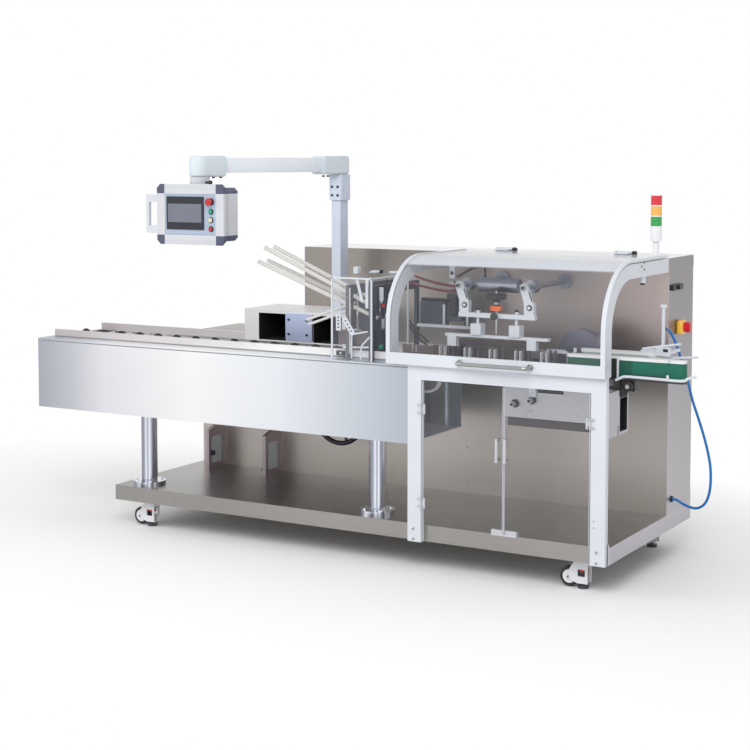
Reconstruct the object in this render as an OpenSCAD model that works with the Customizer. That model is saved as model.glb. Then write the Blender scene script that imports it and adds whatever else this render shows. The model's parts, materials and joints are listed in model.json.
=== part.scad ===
// Automatic cartoner: a packaging line machine that opens flat cartons from a
// slanted magazine, fills them from a bucket chain and presses them shut.
// Millimetres. Sizes are laid out from the plinth's front left bottom corner:
// X to the right along the line, Y to the back, Z up. The finished part is
// moved so that its origin is on the floor, under the middle of its box.

/* [Plinth] */
// Length of the plinth
plinth_l = 2600; // [2500:5:2800]
// Depth of the plinth
plinth_w = 1032; // [980:1:1150]
// Height of the plinth
plinth_h = 73; // [55:1:90]
// Height of the plinth's underside above the floor
floor_gap = 135; // [130:1:160]

/* [Cabinet] */
// Depth of the cabinet along the back
cabinet_d = 330; // [290:1:360]
// Left end of the low part of the cabinet
cabinet_left = 25; // [0:1:60]
// Left end of the tall part of the cabinet
cabinet_step = 667; // [630:1:700]
// Height of the tall part above the plinth's underside
cabinet_top = 1240; // [1200:1:1300]
// Height of the working table above the plinth's underside
table_z = 785; // [770:1:800]
// Radius of the cabinet's folded edges
cabinet_r = 8; // [4:1:14]
// Diameter of the hand wheel under the table
hand_wheel_d = 300; // [240:1:320]
// Number of access panels across the back
back_panels = 4; // [2:1:6]
// Width of the joint between the back panels
panel_joint = 5; // [3:1:8]

/* [Infeed] */
// How far the infeed reaches out to the left of the plinth
infeed_reach = 481; // [430:1:520]
// How far the skirt stands in front of the plinth
skirt_lead = 20; // [15:1:28]
// Height of the skirt
skirt_h = 348; // [320:1:380]
// Step from the table down to the infeed's ledge
ledge_step = 7; // [4:1:12]
// Depth of the infeed trough, front to back
trough_w = 510; // [480:1:540]
// Thickness of the sheet metal
sheet_t = 3; // [2:0.5:4]
// Width of the ledge in front of the buckets
ledge_w = 120; // [100:1:130]
// Height of the guide rails beside the buckets
guide_h = 37; // [25:1:45]
// Thickness of the guide rails
guide_t = 15; // [8:1:18]
// Pitch of the bucket chain
bucket_pitch = 114.3; // [95:0.1:140]
// Height of a bucket's side plates
bucket_h = 38; // [25:1:45]
// Radius of the chain at its end sprockets
sprocket_r = 70; // [55:1:80]
// Diameter of the support legs
leg_d = 80; // [60:1:100]
// Place of the left support leg along the line
leg_left_x = 126; // [100:1:200]
// Place of the right support leg along the line
leg_right_x = 1435; // [1300:1:1500]
// Diameter of the foot flanges of the legs
leg_flange_d = 160; // [130:1:180]
// Thickness of the foot flanges of the legs
leg_flange_t = 18; // [12:1:24]

/* [Pusher] */
// Left end of the pusher housing
pusher_x = 505; // [480:1:540]
// Length of the pusher housing
pusher_l = 649; // [600:1:660]
// Depth of the pusher housing in front of the cabinet
pusher_w = 302; // [280:1:310]
// Height of the pusher housing
pusher_h = 155; // [140:1:180]
// Width of each pusher tunnel
tunnel_w = 165; // [150:1:170]

/* [Magazine] */
// Slope of the magazine's rods
magazine_slope = 23; // [15:0.5:28]
// Diameter of the magazine's rods
magazine_rod_d = 20; // [14:1:24]
// Distance between the front rods and the rear rods
magazine_span = 80; // [60:1:110]
// Height between the lower rods and the upper rods
magazine_rise = 82; // [70:1:90]
// Left end of the clear guard
guard_x = 1262; // [1240:1:1280]
// Length of the clear guard
guard_l = 214; // [200:1:230]
// Height of the clear guard
guard_h = 374; // [350:1:390]
// Thickness of the clear sheets
clear_t = 6; // [4:0.5:8]

/* [Hood and doors] */
// Left face of the left guard post
post_x = 1669; // [1650:1:1700]
// Width of the guard posts
post_w = 66; // [50:1:80]
// Depth of the guard posts
post_d = 30; // [25:1:34]
// Height of the beam under the hood
beam_h = 65; // [50:1:75]
// Left end of the hood
hood_x = 1573; // [1560:1:1600]
// Radius of the hood's bend
hood_r = 295; // [260:1:320]
// How far the hood stands in front of the plinth
hood_lead = 56; // [48:1:64]
// Height of the hood's top above the cabinet's top
hood_over = 14; // [12:1:20]
// Height of the hood's front rail
hood_rail_h = 52; // [40:1:60]
// Width of the edge strips of the hood
hood_strip_w = 20; // [14:1:26]
// Width of the side arches under the hood
arch_w = 62; // [50:1:70]
// Thickness of the side arches
arch_t = 20; // [14:1:24]
// Clearance between the doors and what is around them
door_gap = 5; // [5:0.5:8]
// Thickness of the doors
door_t = 8; // [6:0.5:10]
// Length of the door handles
door_handle_l = 104; // [80:1:130]

/* [Panel arm] */
// Place of the arm's column along the line
column_x = 977; // [960:1:1000]
// Place of the arm's column, front to back
column_y = 536; // [500:1:580]
// Width of the arm's column
column_w = 50; // [44:1:56]
// Depth of the arm's column
column_d = 70; // [60:1:76]
// Height of the arm's middle above the plinth's underside
arm_z = 1654; // [1640:1:1700]
// Height of the arm's tube
arm_h = 68; // [56:1:72]
// Length of the arm from column to panel
arm_l = 907; // [850:1:930]
// Angle of the arm at rest, to the left of straight out
arm_angle = 12; // [0:1:18]
// Width of the operator panel
panel_w = 364; // [330:1:390]
// Height of the operator panel
panel_h = 268; // [240:1:290]
// Depth of the operator panel
panel_d = 130; // [110:1:150]

/* [Discharge] */
// How far the front belt reaches past the plinth
belt_reach = 276; // [250:1:300]
// Height of the discharge belts
belt_h = 72; // [60:1:80]
// Place of the front belt, front to back
belt_y = 150; // [130:1:170]
// Distance between the discharge belts
belt_span = 200; // [170:1:230]
// Radius of the belts' end rollers
belt_r = 22; // [18:1:26]
// Length of the front belt
belt_l = 528; // [480:1:560]

/* [Casters] */
// Diameter of the caster wheels
wheel_d = 86; // [75:1:88]
// Width of the caster wheels
wheel_w = 27; // [22:1:32]
// Distance of the wheel from its swivel
wheel_trail = 60; // [58:1:64]
// Diameter of the levelling feet
foot_d = 48; // [40:1:50]

/* [Signal tower] */
// Diameter of the signal tower
tower_d = 51; // [44:1:60]
// Height of one lamp of the signal tower
lamp_h = 44; // [38:1:50]

/* [Hidden] */
$fn = 48;
// Small running clearance of pins and knuckles
fit = 0.3;
// Clearance of moving pieces
clear = 6;
cut = 1;

cabinet_front = plinth_w - cabinet_d;
infeed_left = -infeed_reach;
infeed_right = post_x;
trough_front = -skirt_lead;
trough_back = trough_front + trough_w;
ledge_z = table_z - ledge_step;
skirt_bottom = ledge_z - skirt_h;
guide_front_y = trough_front + ledge_w - guide_t;
guide_back_y = trough_back - sheet_t - guide_t - 20;
bucket_room = 6;
bucket_front = guide_front_y + guide_t + bucket_room;
bucket_back = guide_back_y - bucket_room;
chain_t = 12;
chain_top = ledge_z - 40;
sprocket_z = chain_top - sprocket_r;
sprocket_left_x = infeed_left + sheet_t + bucket_room + bucket_h + sprocket_r;
sprocket_right_x = infeed_right - sheet_t - bucket_room - bucket_h - sprocket_r;
table_t = 20;
table_left = 60;
bed_t = 24;
bed_top = table_z - beam_h;
drive_y = 100;
drive_d = 120;
drive_plate_t = 12;
beam_z = table_z - beam_h;
post_left_end = post_x + post_w;
// Right face of the guard frame and the bed
frame_right = plinth_l - 3;
post_right_x = frame_right - post_w;
hood_right = plinth_l;
hood_front = -hood_lead;
hood_top = cabinet_top + hood_over;
hood_t = clear_t;
hood_bend_y = hood_front + hood_r;
hood_bend_z = hood_top - hood_r;
hood_back = cabinet_front - 14;
hood_rest = 0.5;
hood_bottom = table_z + hood_rest;
hinge_d = 16;
hinge_pin_d = 8;
hinge_l = 70;
hinge_y = cabinet_front;
hinge_left_x = hood_x + 219;
hinge_right_x = hood_right - 213;
door_z = plinth_h + 7;
door_top = beam_z - door_gap;
door_left = post_left_end + door_gap;
door_right = post_right_x - door_gap;
door_middle = (door_left + door_right) / 2;
door_front = -post_d;
door_pin_d = 5;
door_knuckle_d = 9;
door_hinge_h = 45;
door_hinge_w = 20;
door_hinge_t = 3;
door_low_z = 177;
door_high_z = 592;
door_axis_y = door_front - door_knuckle_d / 2;
door_left_axis = post_left_end + door_gap / 2;
door_right_axis = post_right_x - door_gap / 2;
column_foot = table_z + pusher_h;
collar_h = 124;
hang_x = column_x - arm_l * sin(arm_angle);
hang_y = column_y - arm_l * cos(arm_angle);
panel_top = arm_z - 83;
panel_bottom = panel_top - panel_h;
stop_reach = 28;
panel_reach = panel_d / 2 + 10;
panel_front = hang_y - panel_reach;
mid_x = (infeed_left + plinth_l + belt_reach) / 2;
mid_y = (panel_front - stop_reach + plinth_w) / 2;
caster_in_x = 150;
caster_in_y = 100;
caster_xs = [caster_in_x, plinth_l - caster_in_x];
caster_ys = [caster_in_y, plinth_w - caster_in_y];
caster_plate = 110;
caster_plate_t = 12;
screw_d = 16;
foot_t = 14;
fork_top = -caster_plate_t - clear / 2;
fork_ring_d = 56;
fork_ring_h = 22;
cheek_t = 6;
cheek_r = 11;
wheel_room = 5;
axle_d = 8;
tread_r = 5;
wheel_lift = 3;
wheel_z = -floor_gap + wheel_lift + wheel_d / 2;
tower_x = plinth_l - 92;
tower_y = cabinet_front + 76;
belt_right = plinth_l + belt_reach;
belt_left = belt_right - belt_l;
belt_t = 4;
rear_belt_short = 20;
rail_t = 12;
rod_y_front = 105;
rod_left_x = 790;
rod_left_z = 1200;
rod_len = 690;
hose_d = 12;
// The air hose, from the gland in the cabinet's side out, up and back in
// behind the discharge belts
hose_bends = [
    [6, 767, 138], [26, 767, 136], [52, 764, 124], [86, 757, 114], [123, 745, 113],
    [155, 732, 128], [180, 720, 156], [198, 706, 202], [208, 690, 260], [210, 674, 328],
    [201, 657, 402], [186, 640, 476], [168, 621, 550], [150, 600, 624], [134, 572, 720],
    [116, 540, 812], [100, 508, 888], [86, 480, 934], [76, 452, 950]
];
hose_route = [for (p = hose_bends) [plinth_l + p[0], p[1], p[2]]];

// Moves the layout frame to the part's own frame
module placed() {
    translate([-mid_x, -mid_y, floor_gap]) children();
}

// A box between two opposite corners
module block(a, b) {
    translate(a) cube(b - a);
}

// Round bars along the three axes, from a start point
module bar_x(p, d, l) {
    translate(p) rotate([0, 90, 0]) cylinder(d = d, h = l);
}
module bar_y(p, d, l) {
    translate(p) rotate([-90, 0, 0]) cylinder(d = d, h = l);
}
module bar_z(p, d, l) {
    translate(p) cylinder(d = d, h = l);
}

// A flat rectangle with round corners, from its lower left corner
module round_rect(w, h, r) {
    translate([r, 0]) square([w - 2 * r, h]);
    translate([0, r]) square([w, h - 2 * r]);
    for (x = [r, w - r], y = [r, h - r]) translate([x, y]) circle(r);
}

// Extrudes a profile drawn in Y and Z along X
module along_x(x, l) {
    translate([x, 0, 0]) rotate([90, 0, 90]) linear_extrude(l) children();
}

// Extrudes a profile drawn in X and Z from y towards the front
module along_y(y, l) {
    translate([0, y, 0]) rotate([90, 0, 0]) linear_extrude(l) children();
}

// Plinth and casters

module plinth() {
    color("gray") placed() block([0, 0, 0], [plinth_l, plinth_w, plinth_h]);
}

// Fixed part of the levelling casters: plate, screw and foot
module caster_plates() {
    color("gainsboro") placed() for (x = caster_xs, y = caster_ys) {
        translate([x - caster_plate / 2, y - caster_plate / 2, -caster_plate_t])
            cube([caster_plate, caster_plate, caster_plate_t]);
        bar_z([x, y, foot_t - floor_gap], screw_d, floor_gap - foot_t - caster_plate_t);
        bar_z([x, y, -floor_gap], foot_d, foot_t);
    }
}

// Swivelling fork: a ring round the levelling screw, two cheeks and an axle
module caster_fork(x, y) {
    color("gainsboro") placed() translate([x, y, 0]) difference() {
        union() {
            bar_z([0, 0, fork_top - fork_ring_h], fork_ring_d, fork_ring_h);
            for (s = [-1, 1])
                along_y(s * (wheel_w / 2 + wheel_room + cheek_t / 2) + cheek_t / 2, cheek_t) fork_cheek();
            bar_y([-wheel_trail, -wheel_w / 2 - wheel_room, wheel_z], axle_d, wheel_w + 2 * wheel_room);
        }
        bar_z([0, 0, -floor_gap], screw_d + 2 * fit, floor_gap);
    }
}
fork_front = fork_ring_d / 2;
fork_low = foot_t + 9 - floor_gap;
fork_window_l = 34;
fork_window_h = 30;
// Side plate of a fork: it covers the levelling screw and carries the axle
module fork_cheek() {
    difference() {
        union() {
            polygon([
                [-wheel_trail, wheel_z - cheek_r], [-wheel_trail / 4, fork_low], [fork_front, fork_low],
                [fork_front, fork_top], [-wheel_trail / 2, fork_top],
                [-wheel_trail - cheek_r, wheel_z + cheek_r],
                [-wheel_trail - cheek_r, wheel_z]
            ]);
            translate([-wheel_trail, wheel_z]) circle(cheek_r);
        }
        translate([-fork_window_l / 2, fork_low + fork_window_h]) round_rect(fork_window_l, fork_window_h, 4);
    }
}

// Wheel with a rounded tread and a bore for its axle
module caster_wheel(x, y) {
    color("dimgray") placed() translate([x - wheel_trail, y, wheel_z]) rotate([90, 0, 0])
        rotate_extrude() wheel_half();
}
module wheel_half() {
    bore_r = axle_d / 2 + fit;
    rim = wheel_d / 2;
    translate([bore_r, -wheel_w / 2]) square([rim - tread_r - bore_r, wheel_w]);
    translate([bore_r, tread_r - wheel_w / 2]) square([rim - bore_r, wheel_w - 2 * tread_r]);
    for (s = [-1, 1]) translate([rim - tread_r, s * (wheel_w / 2 - tread_r)]) circle(tread_r);
}

// Cabinet along the back

module cabinet_outline() {
    high_w = plinth_l - cabinet_step;
    translate([cabinet_left, plinth_h]) square([plinth_l - cabinet_left, table_z - plinth_h]);
    translate([cabinet_step, table_z]) square([high_w, cabinet_top - cabinet_r - table_z]);
    translate([cabinet_step + cabinet_r, table_z]) square([high_w - 2 * cabinet_r, cabinet_top - table_z]);
    for (x = [cabinet_step + cabinet_r, plinth_l - cabinet_r])
        translate([x, cabinet_top - cabinet_r]) circle(cabinet_r);
}

module cabinet() {
    panel_w_back = (plinth_l - cabinet_step) / back_panels;
    panel_margin = 60;
    color("silver") placed() {
        difference() {
            along_y(plinth_w, cabinet_d) cabinet_outline();
            for (i = [0 : back_panels])
                translate([cabinet_step + i * panel_w_back - panel_joint / 2,
                           plinth_w - panel_joint, plinth_h + panel_margin])
                    cube([panel_joint, panel_joint + cut, cabinet_top - plinth_h - 2 * panel_margin]);
            for (z = [plinth_h + panel_margin, cabinet_top - panel_margin])
                translate([cabinet_step, plinth_w - panel_joint, z - panel_joint / 2])
                    cube([plinth_l - cabinet_step, panel_joint + cut, panel_joint]);
        }
        bar_y([hand_x, hand_y, hand_z], hand_shaft_d, cabinet_front - hand_y);
    }
}

// Hand wheel that turns the machine over slowly, on a shaft out of the cabinet
hand_x = 950;
hand_y = 556;
hand_z = 414;
hand_shaft_d = 22;
hand_rim_d = 24;
hand_hub_d = 56;
hand_hub_l = 40;
hand_spokes = 5;
module hand_wheel() {
    rim_r = (hand_wheel_d - hand_rim_d) / 2;
    spoke_d = 14;
    color("dimgray") placed() translate([hand_x, hand_y, hand_z]) rotate([-90, 0, 0]) difference() {
        union() {
            translate([0, 0, hand_hub_l / 2]) rotate_extrude($fn = 96)
                translate([rim_r, 0]) circle(d = hand_rim_d);
            cylinder(d = hand_hub_d, h = hand_hub_l);
            for (k = [0 : hand_spokes - 1])
                translate([0, 0, hand_hub_l / 2]) rotate([0, 90, 360 * k / hand_spokes])
                    cylinder(d = spoke_d, h = rim_r);
        }
        translate([0, 0, -cut]) cylinder(d = hand_shaft_d + 2 * fit, h = hand_hub_l + 2 * cut);
    }
}

isolator_y = cabinet_front + 128;
isolator_z = 920;
isolator_w = 66;
isolator_t = 30;
isolator_knob_d = 46;
isolator_grip_w = 18;
isolator_grip_t = 28;
module isolator_base() {
    color("gold") placed() along_x(plinth_l, isolator_t)
        translate([isolator_y - isolator_w / 2, isolator_z - isolator_w / 2])
            round_rect(isolator_w, isolator_w, 6);
}

module isolator_knob() {
    color("red") placed() translate([plinth_l + isolator_t + fit, isolator_y, isolator_z]) {
        rotate([0, 90, 0]) cylinder(d = isolator_knob_d, h = 10);
        translate([0, -isolator_grip_w / 2, -isolator_knob_d / 2])
            cube([isolator_grip_t, isolator_grip_w, isolator_knob_d]);
    }
}

latch_y = cabinet_front + 85;
latch_z = 1105;
latch_l = 132;
latch_h = 26;
latch_t = 14;
module cabinet_latch() {
    color("black") placed() translate([plinth_l, latch_y, latch_z]) {
        along_x(0, latch_t) translate([-latch_l / 2, -latch_h / 2]) round_rect(latch_l, latch_h, 8);
        bar_x([latch_t, 0, 0], 20, 10);
    }
}

// Upright brackets with a window, on the plinth against the cabinet
gusset_d = 144;
gusset_h = 225;
gusset_t = 20;
gusset_rim = 24;
gusset_xs = [154, 509];
module support_gussets() {
    front = cabinet_front - gusset_d;
    pocket = gusset_t / 2 - 3;
    color("lightgray") placed() for (x = gusset_xs) difference() {
        along_x(x - gusset_t / 2, gusset_t) polygon([
            [front, plinth_h], [cabinet_front, plinth_h], [cabinet_front, plinth_h + gusset_h],
            [front + gusset_d / 2, plinth_h + gusset_h], [front, plinth_h + gusset_h - gusset_rim]
        ]);
        for (s = [-1, 1])
            along_x(x + (s > 0 ? gusset_t / 2 - pocket : -gusset_t / 2 - cut), pocket + cut)
                translate([front + gusset_rim, plinth_h + gusset_rim])
                    round_rect(gusset_d - 2 * gusset_rim, gusset_h - 3.5 * gusset_rim, 14);
    }
}

// Infeed trough

trough_r = 12;
ledge_end = 30;
module infeed_skirts() {
    color("whitesmoke") placed() {
        difference() {
            translate([0, 0, skirt_bottom]) linear_extrude(skirt_h) difference() {
                trough_plan(0, trough_r);
                trough_plan(sheet_t, trough_r - sheet_t);
            }
            block([table_left, trough_back - sheet_t - cut, table_z - table_t],
                  [infeed_right + cut, trough_back + cut, ledge_z + cut]);
        }
        difference() {
            translate([0, 0, ledge_z - sheet_t]) linear_extrude(sheet_t)
                trough_plan(sheet_t, trough_r - sheet_t);
            block([infeed_left + ledge_end, guide_front_y + guide_t, ledge_z - sheet_t - cut],
                  [infeed_right + cut, guide_back_y, ledge_z + cut]);
            block([table_left, guide_back_y - cut, ledge_z - sheet_t - cut],
                  [infeed_right + cut, trough_back + cut, ledge_z + cut]);
        }
    }
}
// Plan of the trough: two round corners at its left end
module trough_plan(inset, r) {
    x = infeed_left + inset;
    w = trough_w - 2 * inset;
    y = trough_front + inset;
    translate([x + r, y]) square([infeed_right - x - r, w]);
    translate([x, y + r]) square([r, w - 2 * r]);
    for (s = [r, w - r]) translate([x + r, y + s]) circle(r);
}

// Pan under the chain, with the bearing plates, shafts and sprockets
pan_t = 5;
bearing_t = 12;
bearing_w = 80;
sprocket_shaft_d = 30;
module infeed_pan() {
    y_front = trough_front + sheet_t;
    y_back = trough_back - sheet_t;
    color("silver") placed() {
        block([infeed_left + ledge_end, y_front, skirt_bottom], [infeed_right, y_back, skirt_bottom + pan_t]);
        for (x = [sprocket_left_x, sprocket_right_x]) {
            for (y = [y_front, y_back - bearing_t])
                block([x - bearing_w / 2, y, skirt_bottom + pan_t],
                      [x + bearing_w / 2, y + bearing_t, sprocket_z + bearing_w / 2]);
            bar_y([x, y_front + bearing_t, sprocket_z], sprocket_shaft_d, y_back - y_front - 2 * bearing_t);
            for (y = chain_ys) bar_y([x, y, sprocket_z], 2 * (sprocket_r - chain_t), chain_w);
        }
    }
}

chain_w = 14;
chain_in = 60;
chain_ys = [bucket_front + chain_in, bucket_back - chain_in - chain_w];

// Bucket chain: two endless chain bands with a row of open buckets on the top run
module bucket_chain() {
    count = floor((sprocket_right_x - sprocket_left_x) / bucket_pitch);
    color("dimgray") placed() {
        for (y = chain_ys) translate([0, y + chain_w, 0]) along_y(0, chain_w) difference() {
            racetrack(sprocket_r);
            racetrack(sprocket_r - chain_t + fit);
        }
        for (i = [0 : count - 1])
            translate([sprocket_left_x + (i + 0.5) * bucket_pitch, 0, chain_top]) bucket();
    }
}
module racetrack(r) {
    translate([sprocket_left_x, sprocket_z - r]) square([sprocket_right_x - sprocket_left_x, 2 * r]);
    for (x = [sprocket_left_x, sprocket_right_x]) translate([x, sprocket_z]) circle(r);
}
bucket_t = 4;
bucket_gap = 8;
module bucket() {
    half = (bucket_pitch - bucket_gap) / 2;
    depth = bucket_back - bucket_front;
    translate([-half, bucket_front, 0]) cube([2 * half, depth, bucket_t]);
    for (x = [-half, half - bucket_t]) translate([x, bucket_front, 0]) cube([bucket_t, depth, bucket_h]);
}

module guide_rails() {
    left = infeed_left + ledge_end - 4;
    color("gainsboro") placed() {
        block([left, guide_front_y, ledge_z], [infeed_right, guide_front_y + guide_t, ledge_z + guide_h]);
        block([left, guide_back_y, ledge_z], [pusher_x, guide_back_y + guide_t, ledge_z + guide_h]);
    }
}

leg_y = trough_front + 132;
module infeed_legs() {
    color("lightsteelblue") placed() for (x = [leg_left_x, leg_right_x]) {
        bar_z([x, leg_y, plinth_h], leg_flange_d, leg_flange_t);
        bar_z([x, leg_y, plinth_h + leg_flange_t], leg_d, skirt_bottom - plinth_h - leg_flange_t);
    }
}

module table_plate() {
    color("whitesmoke") placed()
        block([table_left, guide_back_y + guide_t, table_z - table_t], [hood_x, cabinet_front, table_z]);
}

// Pusher housing behind the buckets

plate_w = 152;
plate_t = 10;
plate_rim = 12;
tunnel_floor = 6;
tunnel_roof = 16;
tunnel_back = 40;
pusher_front = cabinet_front - pusher_w;
module pusher_housing() {
    jamb = (pusher_l - 2 * tunnel_w - plate_w) / 2;
    top = table_z + pusher_h;
    color("gainsboro") placed() difference() {
        block([pusher_x, pusher_front, table_z], [pusher_x + pusher_l, cabinet_front, top]);
        for (x = [pusher_x + jamb, pusher_x + pusher_l - jamb - tunnel_w])
            block([x, pusher_front - cut, table_z + tunnel_floor],
                  [x + tunnel_w, cabinet_front - tunnel_back, top - tunnel_roof]);
    }
}
module pusher_plate() {
    x = pusher_x + (pusher_l - plate_w) / 2;
    color("lightsteelblue") placed() along_y(pusher_front, plate_t)
        translate([x, table_z + plate_rim]) round_rect(plate_w, pusher_h - 2 * plate_rim, 6);
}

// Carton magazine

// A round bar that starts at p and slopes down to the right
module slanted_bar(p, slope, d, l, skip = 0) {
    translate(p) rotate([0, 90 + slope, 0]) translate([0, 0, skip]) cylinder(d = d, h = l - skip);
}
rod_ys = [rod_y_front, rod_y_front + magazine_span];
// The lower rods lie flatter than the upper ones, and the upper ones are shorter
rod_flatter = 3;
rod_shorter = 40;
// Two thin bars that rise towards the guard and stop the cartons
stop_slope = -19.5;
stop_d = 12;
stop_l = 280;
stop_places = [[1058, rod_y_front, 937], [1072, rod_y_front, 917]];
module magazine_bars(extra) {
    for (y = rod_ys) {
        slanted_bar([rod_left_x, y, rod_left_z], magazine_slope - rod_flatter,
                    magazine_rod_d + extra, rod_len);
        slanted_bar([rod_left_x, y, rod_left_z + magazine_rise], magazine_slope,
                    magazine_rod_d + extra, rod_len, rod_shorter);
    }
    for (p = stop_places) slanted_bar(p, stop_slope, stop_d + extra, stop_l);
}
module magazine_rods() {
    color("white") placed() magazine_bars(0);
}

portal_t = 14;
portal_in = 40;
portal_xs = [guard_x + portal_in, guard_x + guard_l - portal_in - portal_t];
portal_post = 26;
portal_drop = 40;
portal_tab_w = 44;
portal_tab_z = ledge_z + 130;
module magazine_frame() {
    y_front = rod_y_front - 2 * portal_post;
    y_back = guide_back_y + guide_t + 12;
    top = ledge_z + guard_h - portal_drop;
    color("slategray") placed() for (x = portal_xs) difference() {
        union() {
            block([x, y_front, ledge_z], [x + portal_t, y_front + portal_post, top]);
            block([x, y_back, table_z], [x + portal_t, y_back + portal_post, top]);
            block([x, y_front, top - portal_drop], [x + portal_t, y_back + portal_post, top]);
            for (y = rod_ys)
                block([x, y - portal_tab_w / 2, portal_tab_z], [x + portal_t, y + portal_tab_w / 2, top]);
        }
        magazine_bars(2 * fit);
    }
}

// Clear guard round the front, right and top of the carton opener
guard_d = 340;
module magazine_guard() {
    front = trough_front + 10;
    back = front + guard_d;
    top = ledge_z + guard_h;
    end = guard_x + guard_l;
    color("lightcyan", 0.5) placed() {
        block([guard_x, front, ledge_z], [end, front + clear_t, top]);
        block([end - clear_t, front, ledge_z + guide_h + fit], [end, back, top]);
        block([guard_x, front, top - clear_t], [end, back, top]);
    }
}

// Machine bed and carton chain

track_w = 30;
track_r = 24;
track_in = 40;
track_z = bed_top + track_r + 2;
track_ys = [belt_y + track_in, belt_y + belt_span - track_in - track_w];
track_left = post_x + track_r + 12;
track_right = belt_left + 110;
track_band = 6;
pedestal_l = 60;
module track_profile(r) {
    translate([track_left, track_z - r]) square([track_right - track_left, 2 * r]);
    for (x = [track_left, track_right]) translate([x, track_z]) circle(r);
}
// The bed starts behind the drive box's front plate and is cut back at the exit
bed_front = drive_y + drive_plate_t;
bed_cut_l = 157;
bed_right = frame_right - bed_cut_l;
module machine_bed() {
    inner = track_r - track_band - fit;
    color("silver") placed() {
        block([post_x, bed_front, bed_top - bed_t], [bed_right, cabinet_front, bed_top]);
        block([bed_right, bed_front, bed_top - bed_t], [frame_right, drive_y + drive_d, bed_top]);
        for (y = track_ys) along_y(y + track_w, track_w) track_profile(inner);
        for (x = [track_left + pedestal_l, (track_left + track_right) / 2, track_right - 2 * pedestal_l])
            block([x, track_ys[0] + track_w, bed_top], [x + pedestal_l, track_ys[1], track_z + inner]);
    }
}

// Two endless carton chains with pairs of upright lugs
lug_h = 78;
lug_t = 5;
lug_lead = 24;
lug_pitch = 124;
lug_rim = 4;
module carton_chain() {
    count = floor((track_right - track_left - lug_lead) / lug_pitch) + 1;
    color("silver") placed() for (y = track_ys) {
        along_y(y + track_w, track_w) difference() {
            track_profile(track_r);
            track_profile(track_r - track_band);
        }
        for (i = [0 : count - 1], lead = [0, lug_lead])
            translate([track_left + i * lug_pitch + lead, y + lug_rim, track_z + track_r - lug_rim])
                cube([lug_t, track_w - 2 * lug_rim, lug_h]);
    }
}

// Guard frame, doors and hood

module guard_frame() {
    color("white") placed() {
        for (x = [post_x, post_right_x]) block([x, -post_d, 0], [x + post_w, 0, table_z]);
        block([post_left_end, -post_d, beam_z], [post_right_x, 0, table_z]);
    }
}

// Area under the hood's outer line, shrunk by an inset, down to a height
module hood_area(inset, low, back) {
    r = hood_r - inset;
    translate([hood_front + inset, low]) square([back - hood_front - inset, hood_bend_z - low]);
    translate([hood_bend_y, hood_bend_z]) {
        square([back - hood_bend_y, r]);
        intersection() {
            circle(r, $fn = 96);
            translate([-hood_r, 0]) square(hood_r);
        }
    }
}
// A band that follows the hood's line
module hood_band(inset, thick, low, back) {
    difference() {
        hood_area(inset, low, back);
        hood_area(inset + thick, low - cut, back + cut);
    }
}

hood_strip_t = 10;
hood_rail_top = table_z + hood_rail_h;
arch_inset = hood_strip_t + clear;
module side_arches() {
    color("white") placed() {
        along_x(hood_x, arch_t) hood_band(arch_inset, arch_w, ledge_z, cabinet_front);
        along_x(frame_right - arch_t, arch_t) hood_band(arch_inset, arch_w, table_z, cabinet_front);
    }
}

module hood_sheet() {
    inset = (hood_strip_t - hood_t) / 2;
    color("lightcyan", 0.5) placed()
        along_x(hood_x + hood_strip_w, hood_right - hood_x - 2 * hood_strip_w)
            hood_band(inset, hood_t, hood_rail_top, hood_back);
}

hood_flange_d = 46;
hood_flange_t = 6;
hinge_leaf_t = 4;
hinge_leaf_d = 40;
hinge_axis_z = hood_top + hinge_d / 2 - hinge_leaf_t;
module hood_frame() {
    color("white") placed() difference() {
        union() {
            for (x = [hood_x, hood_right - hood_strip_w])
                along_x(x, hood_strip_w) hood_band(0, hood_strip_t, hood_bottom, hood_back);
            block([hood_x, hood_front, hood_bottom], [hood_right, hood_front + hood_strip_t, hood_rail_top]);
            block([post_x, hood_front, hood_bottom],
                  [post_right_x + post_w / 2, hood_front + hood_flange_d, hood_bottom + hood_flange_t]);
            for (x = [hinge_left_x, hinge_right_x]) {
                block([x - hinge_l / 2, hood_back - hinge_leaf_d, hood_top],
                      [x + hinge_l / 2, hinge_y, hood_top + hinge_leaf_t]);
                bar_x([x - hinge_l / 2, hinge_y, hinge_axis_z], hinge_d, hinge_l);
            }
        }
        for (x = [hinge_left_x, hinge_right_x])
            bar_x([x - hinge_l, hinge_y, hinge_axis_z], hinge_pin_d + 2 * fit, 2 * hinge_l);
    }
}

hinge_ear = 10;
hinge_side = 1;
module hood_hinges() {
    half = hinge_l / 2 + hinge_side + hinge_ear;
    color("silver") placed() for (x = [hinge_left_x, hinge_right_x]) {
        bar_x([x - half, hinge_y, hinge_axis_z], hinge_pin_d, 2 * half);
        for (s = [x - half, x + half - hinge_ear]) {
            bar_x([s, hinge_y, hinge_axis_z], hinge_d, hinge_ear);
            block([s, hinge_y, cabinet_top], [s + hinge_ear, hinge_y + hinge_leaf_d, hinge_axis_z]);
        }
        block([x - half, hinge_y + hinge_d, cabinet_top],
              [x + half, hinge_y + hinge_d + hinge_leaf_d, cabinet_top + hinge_leaf_t]);
    }
}

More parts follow.
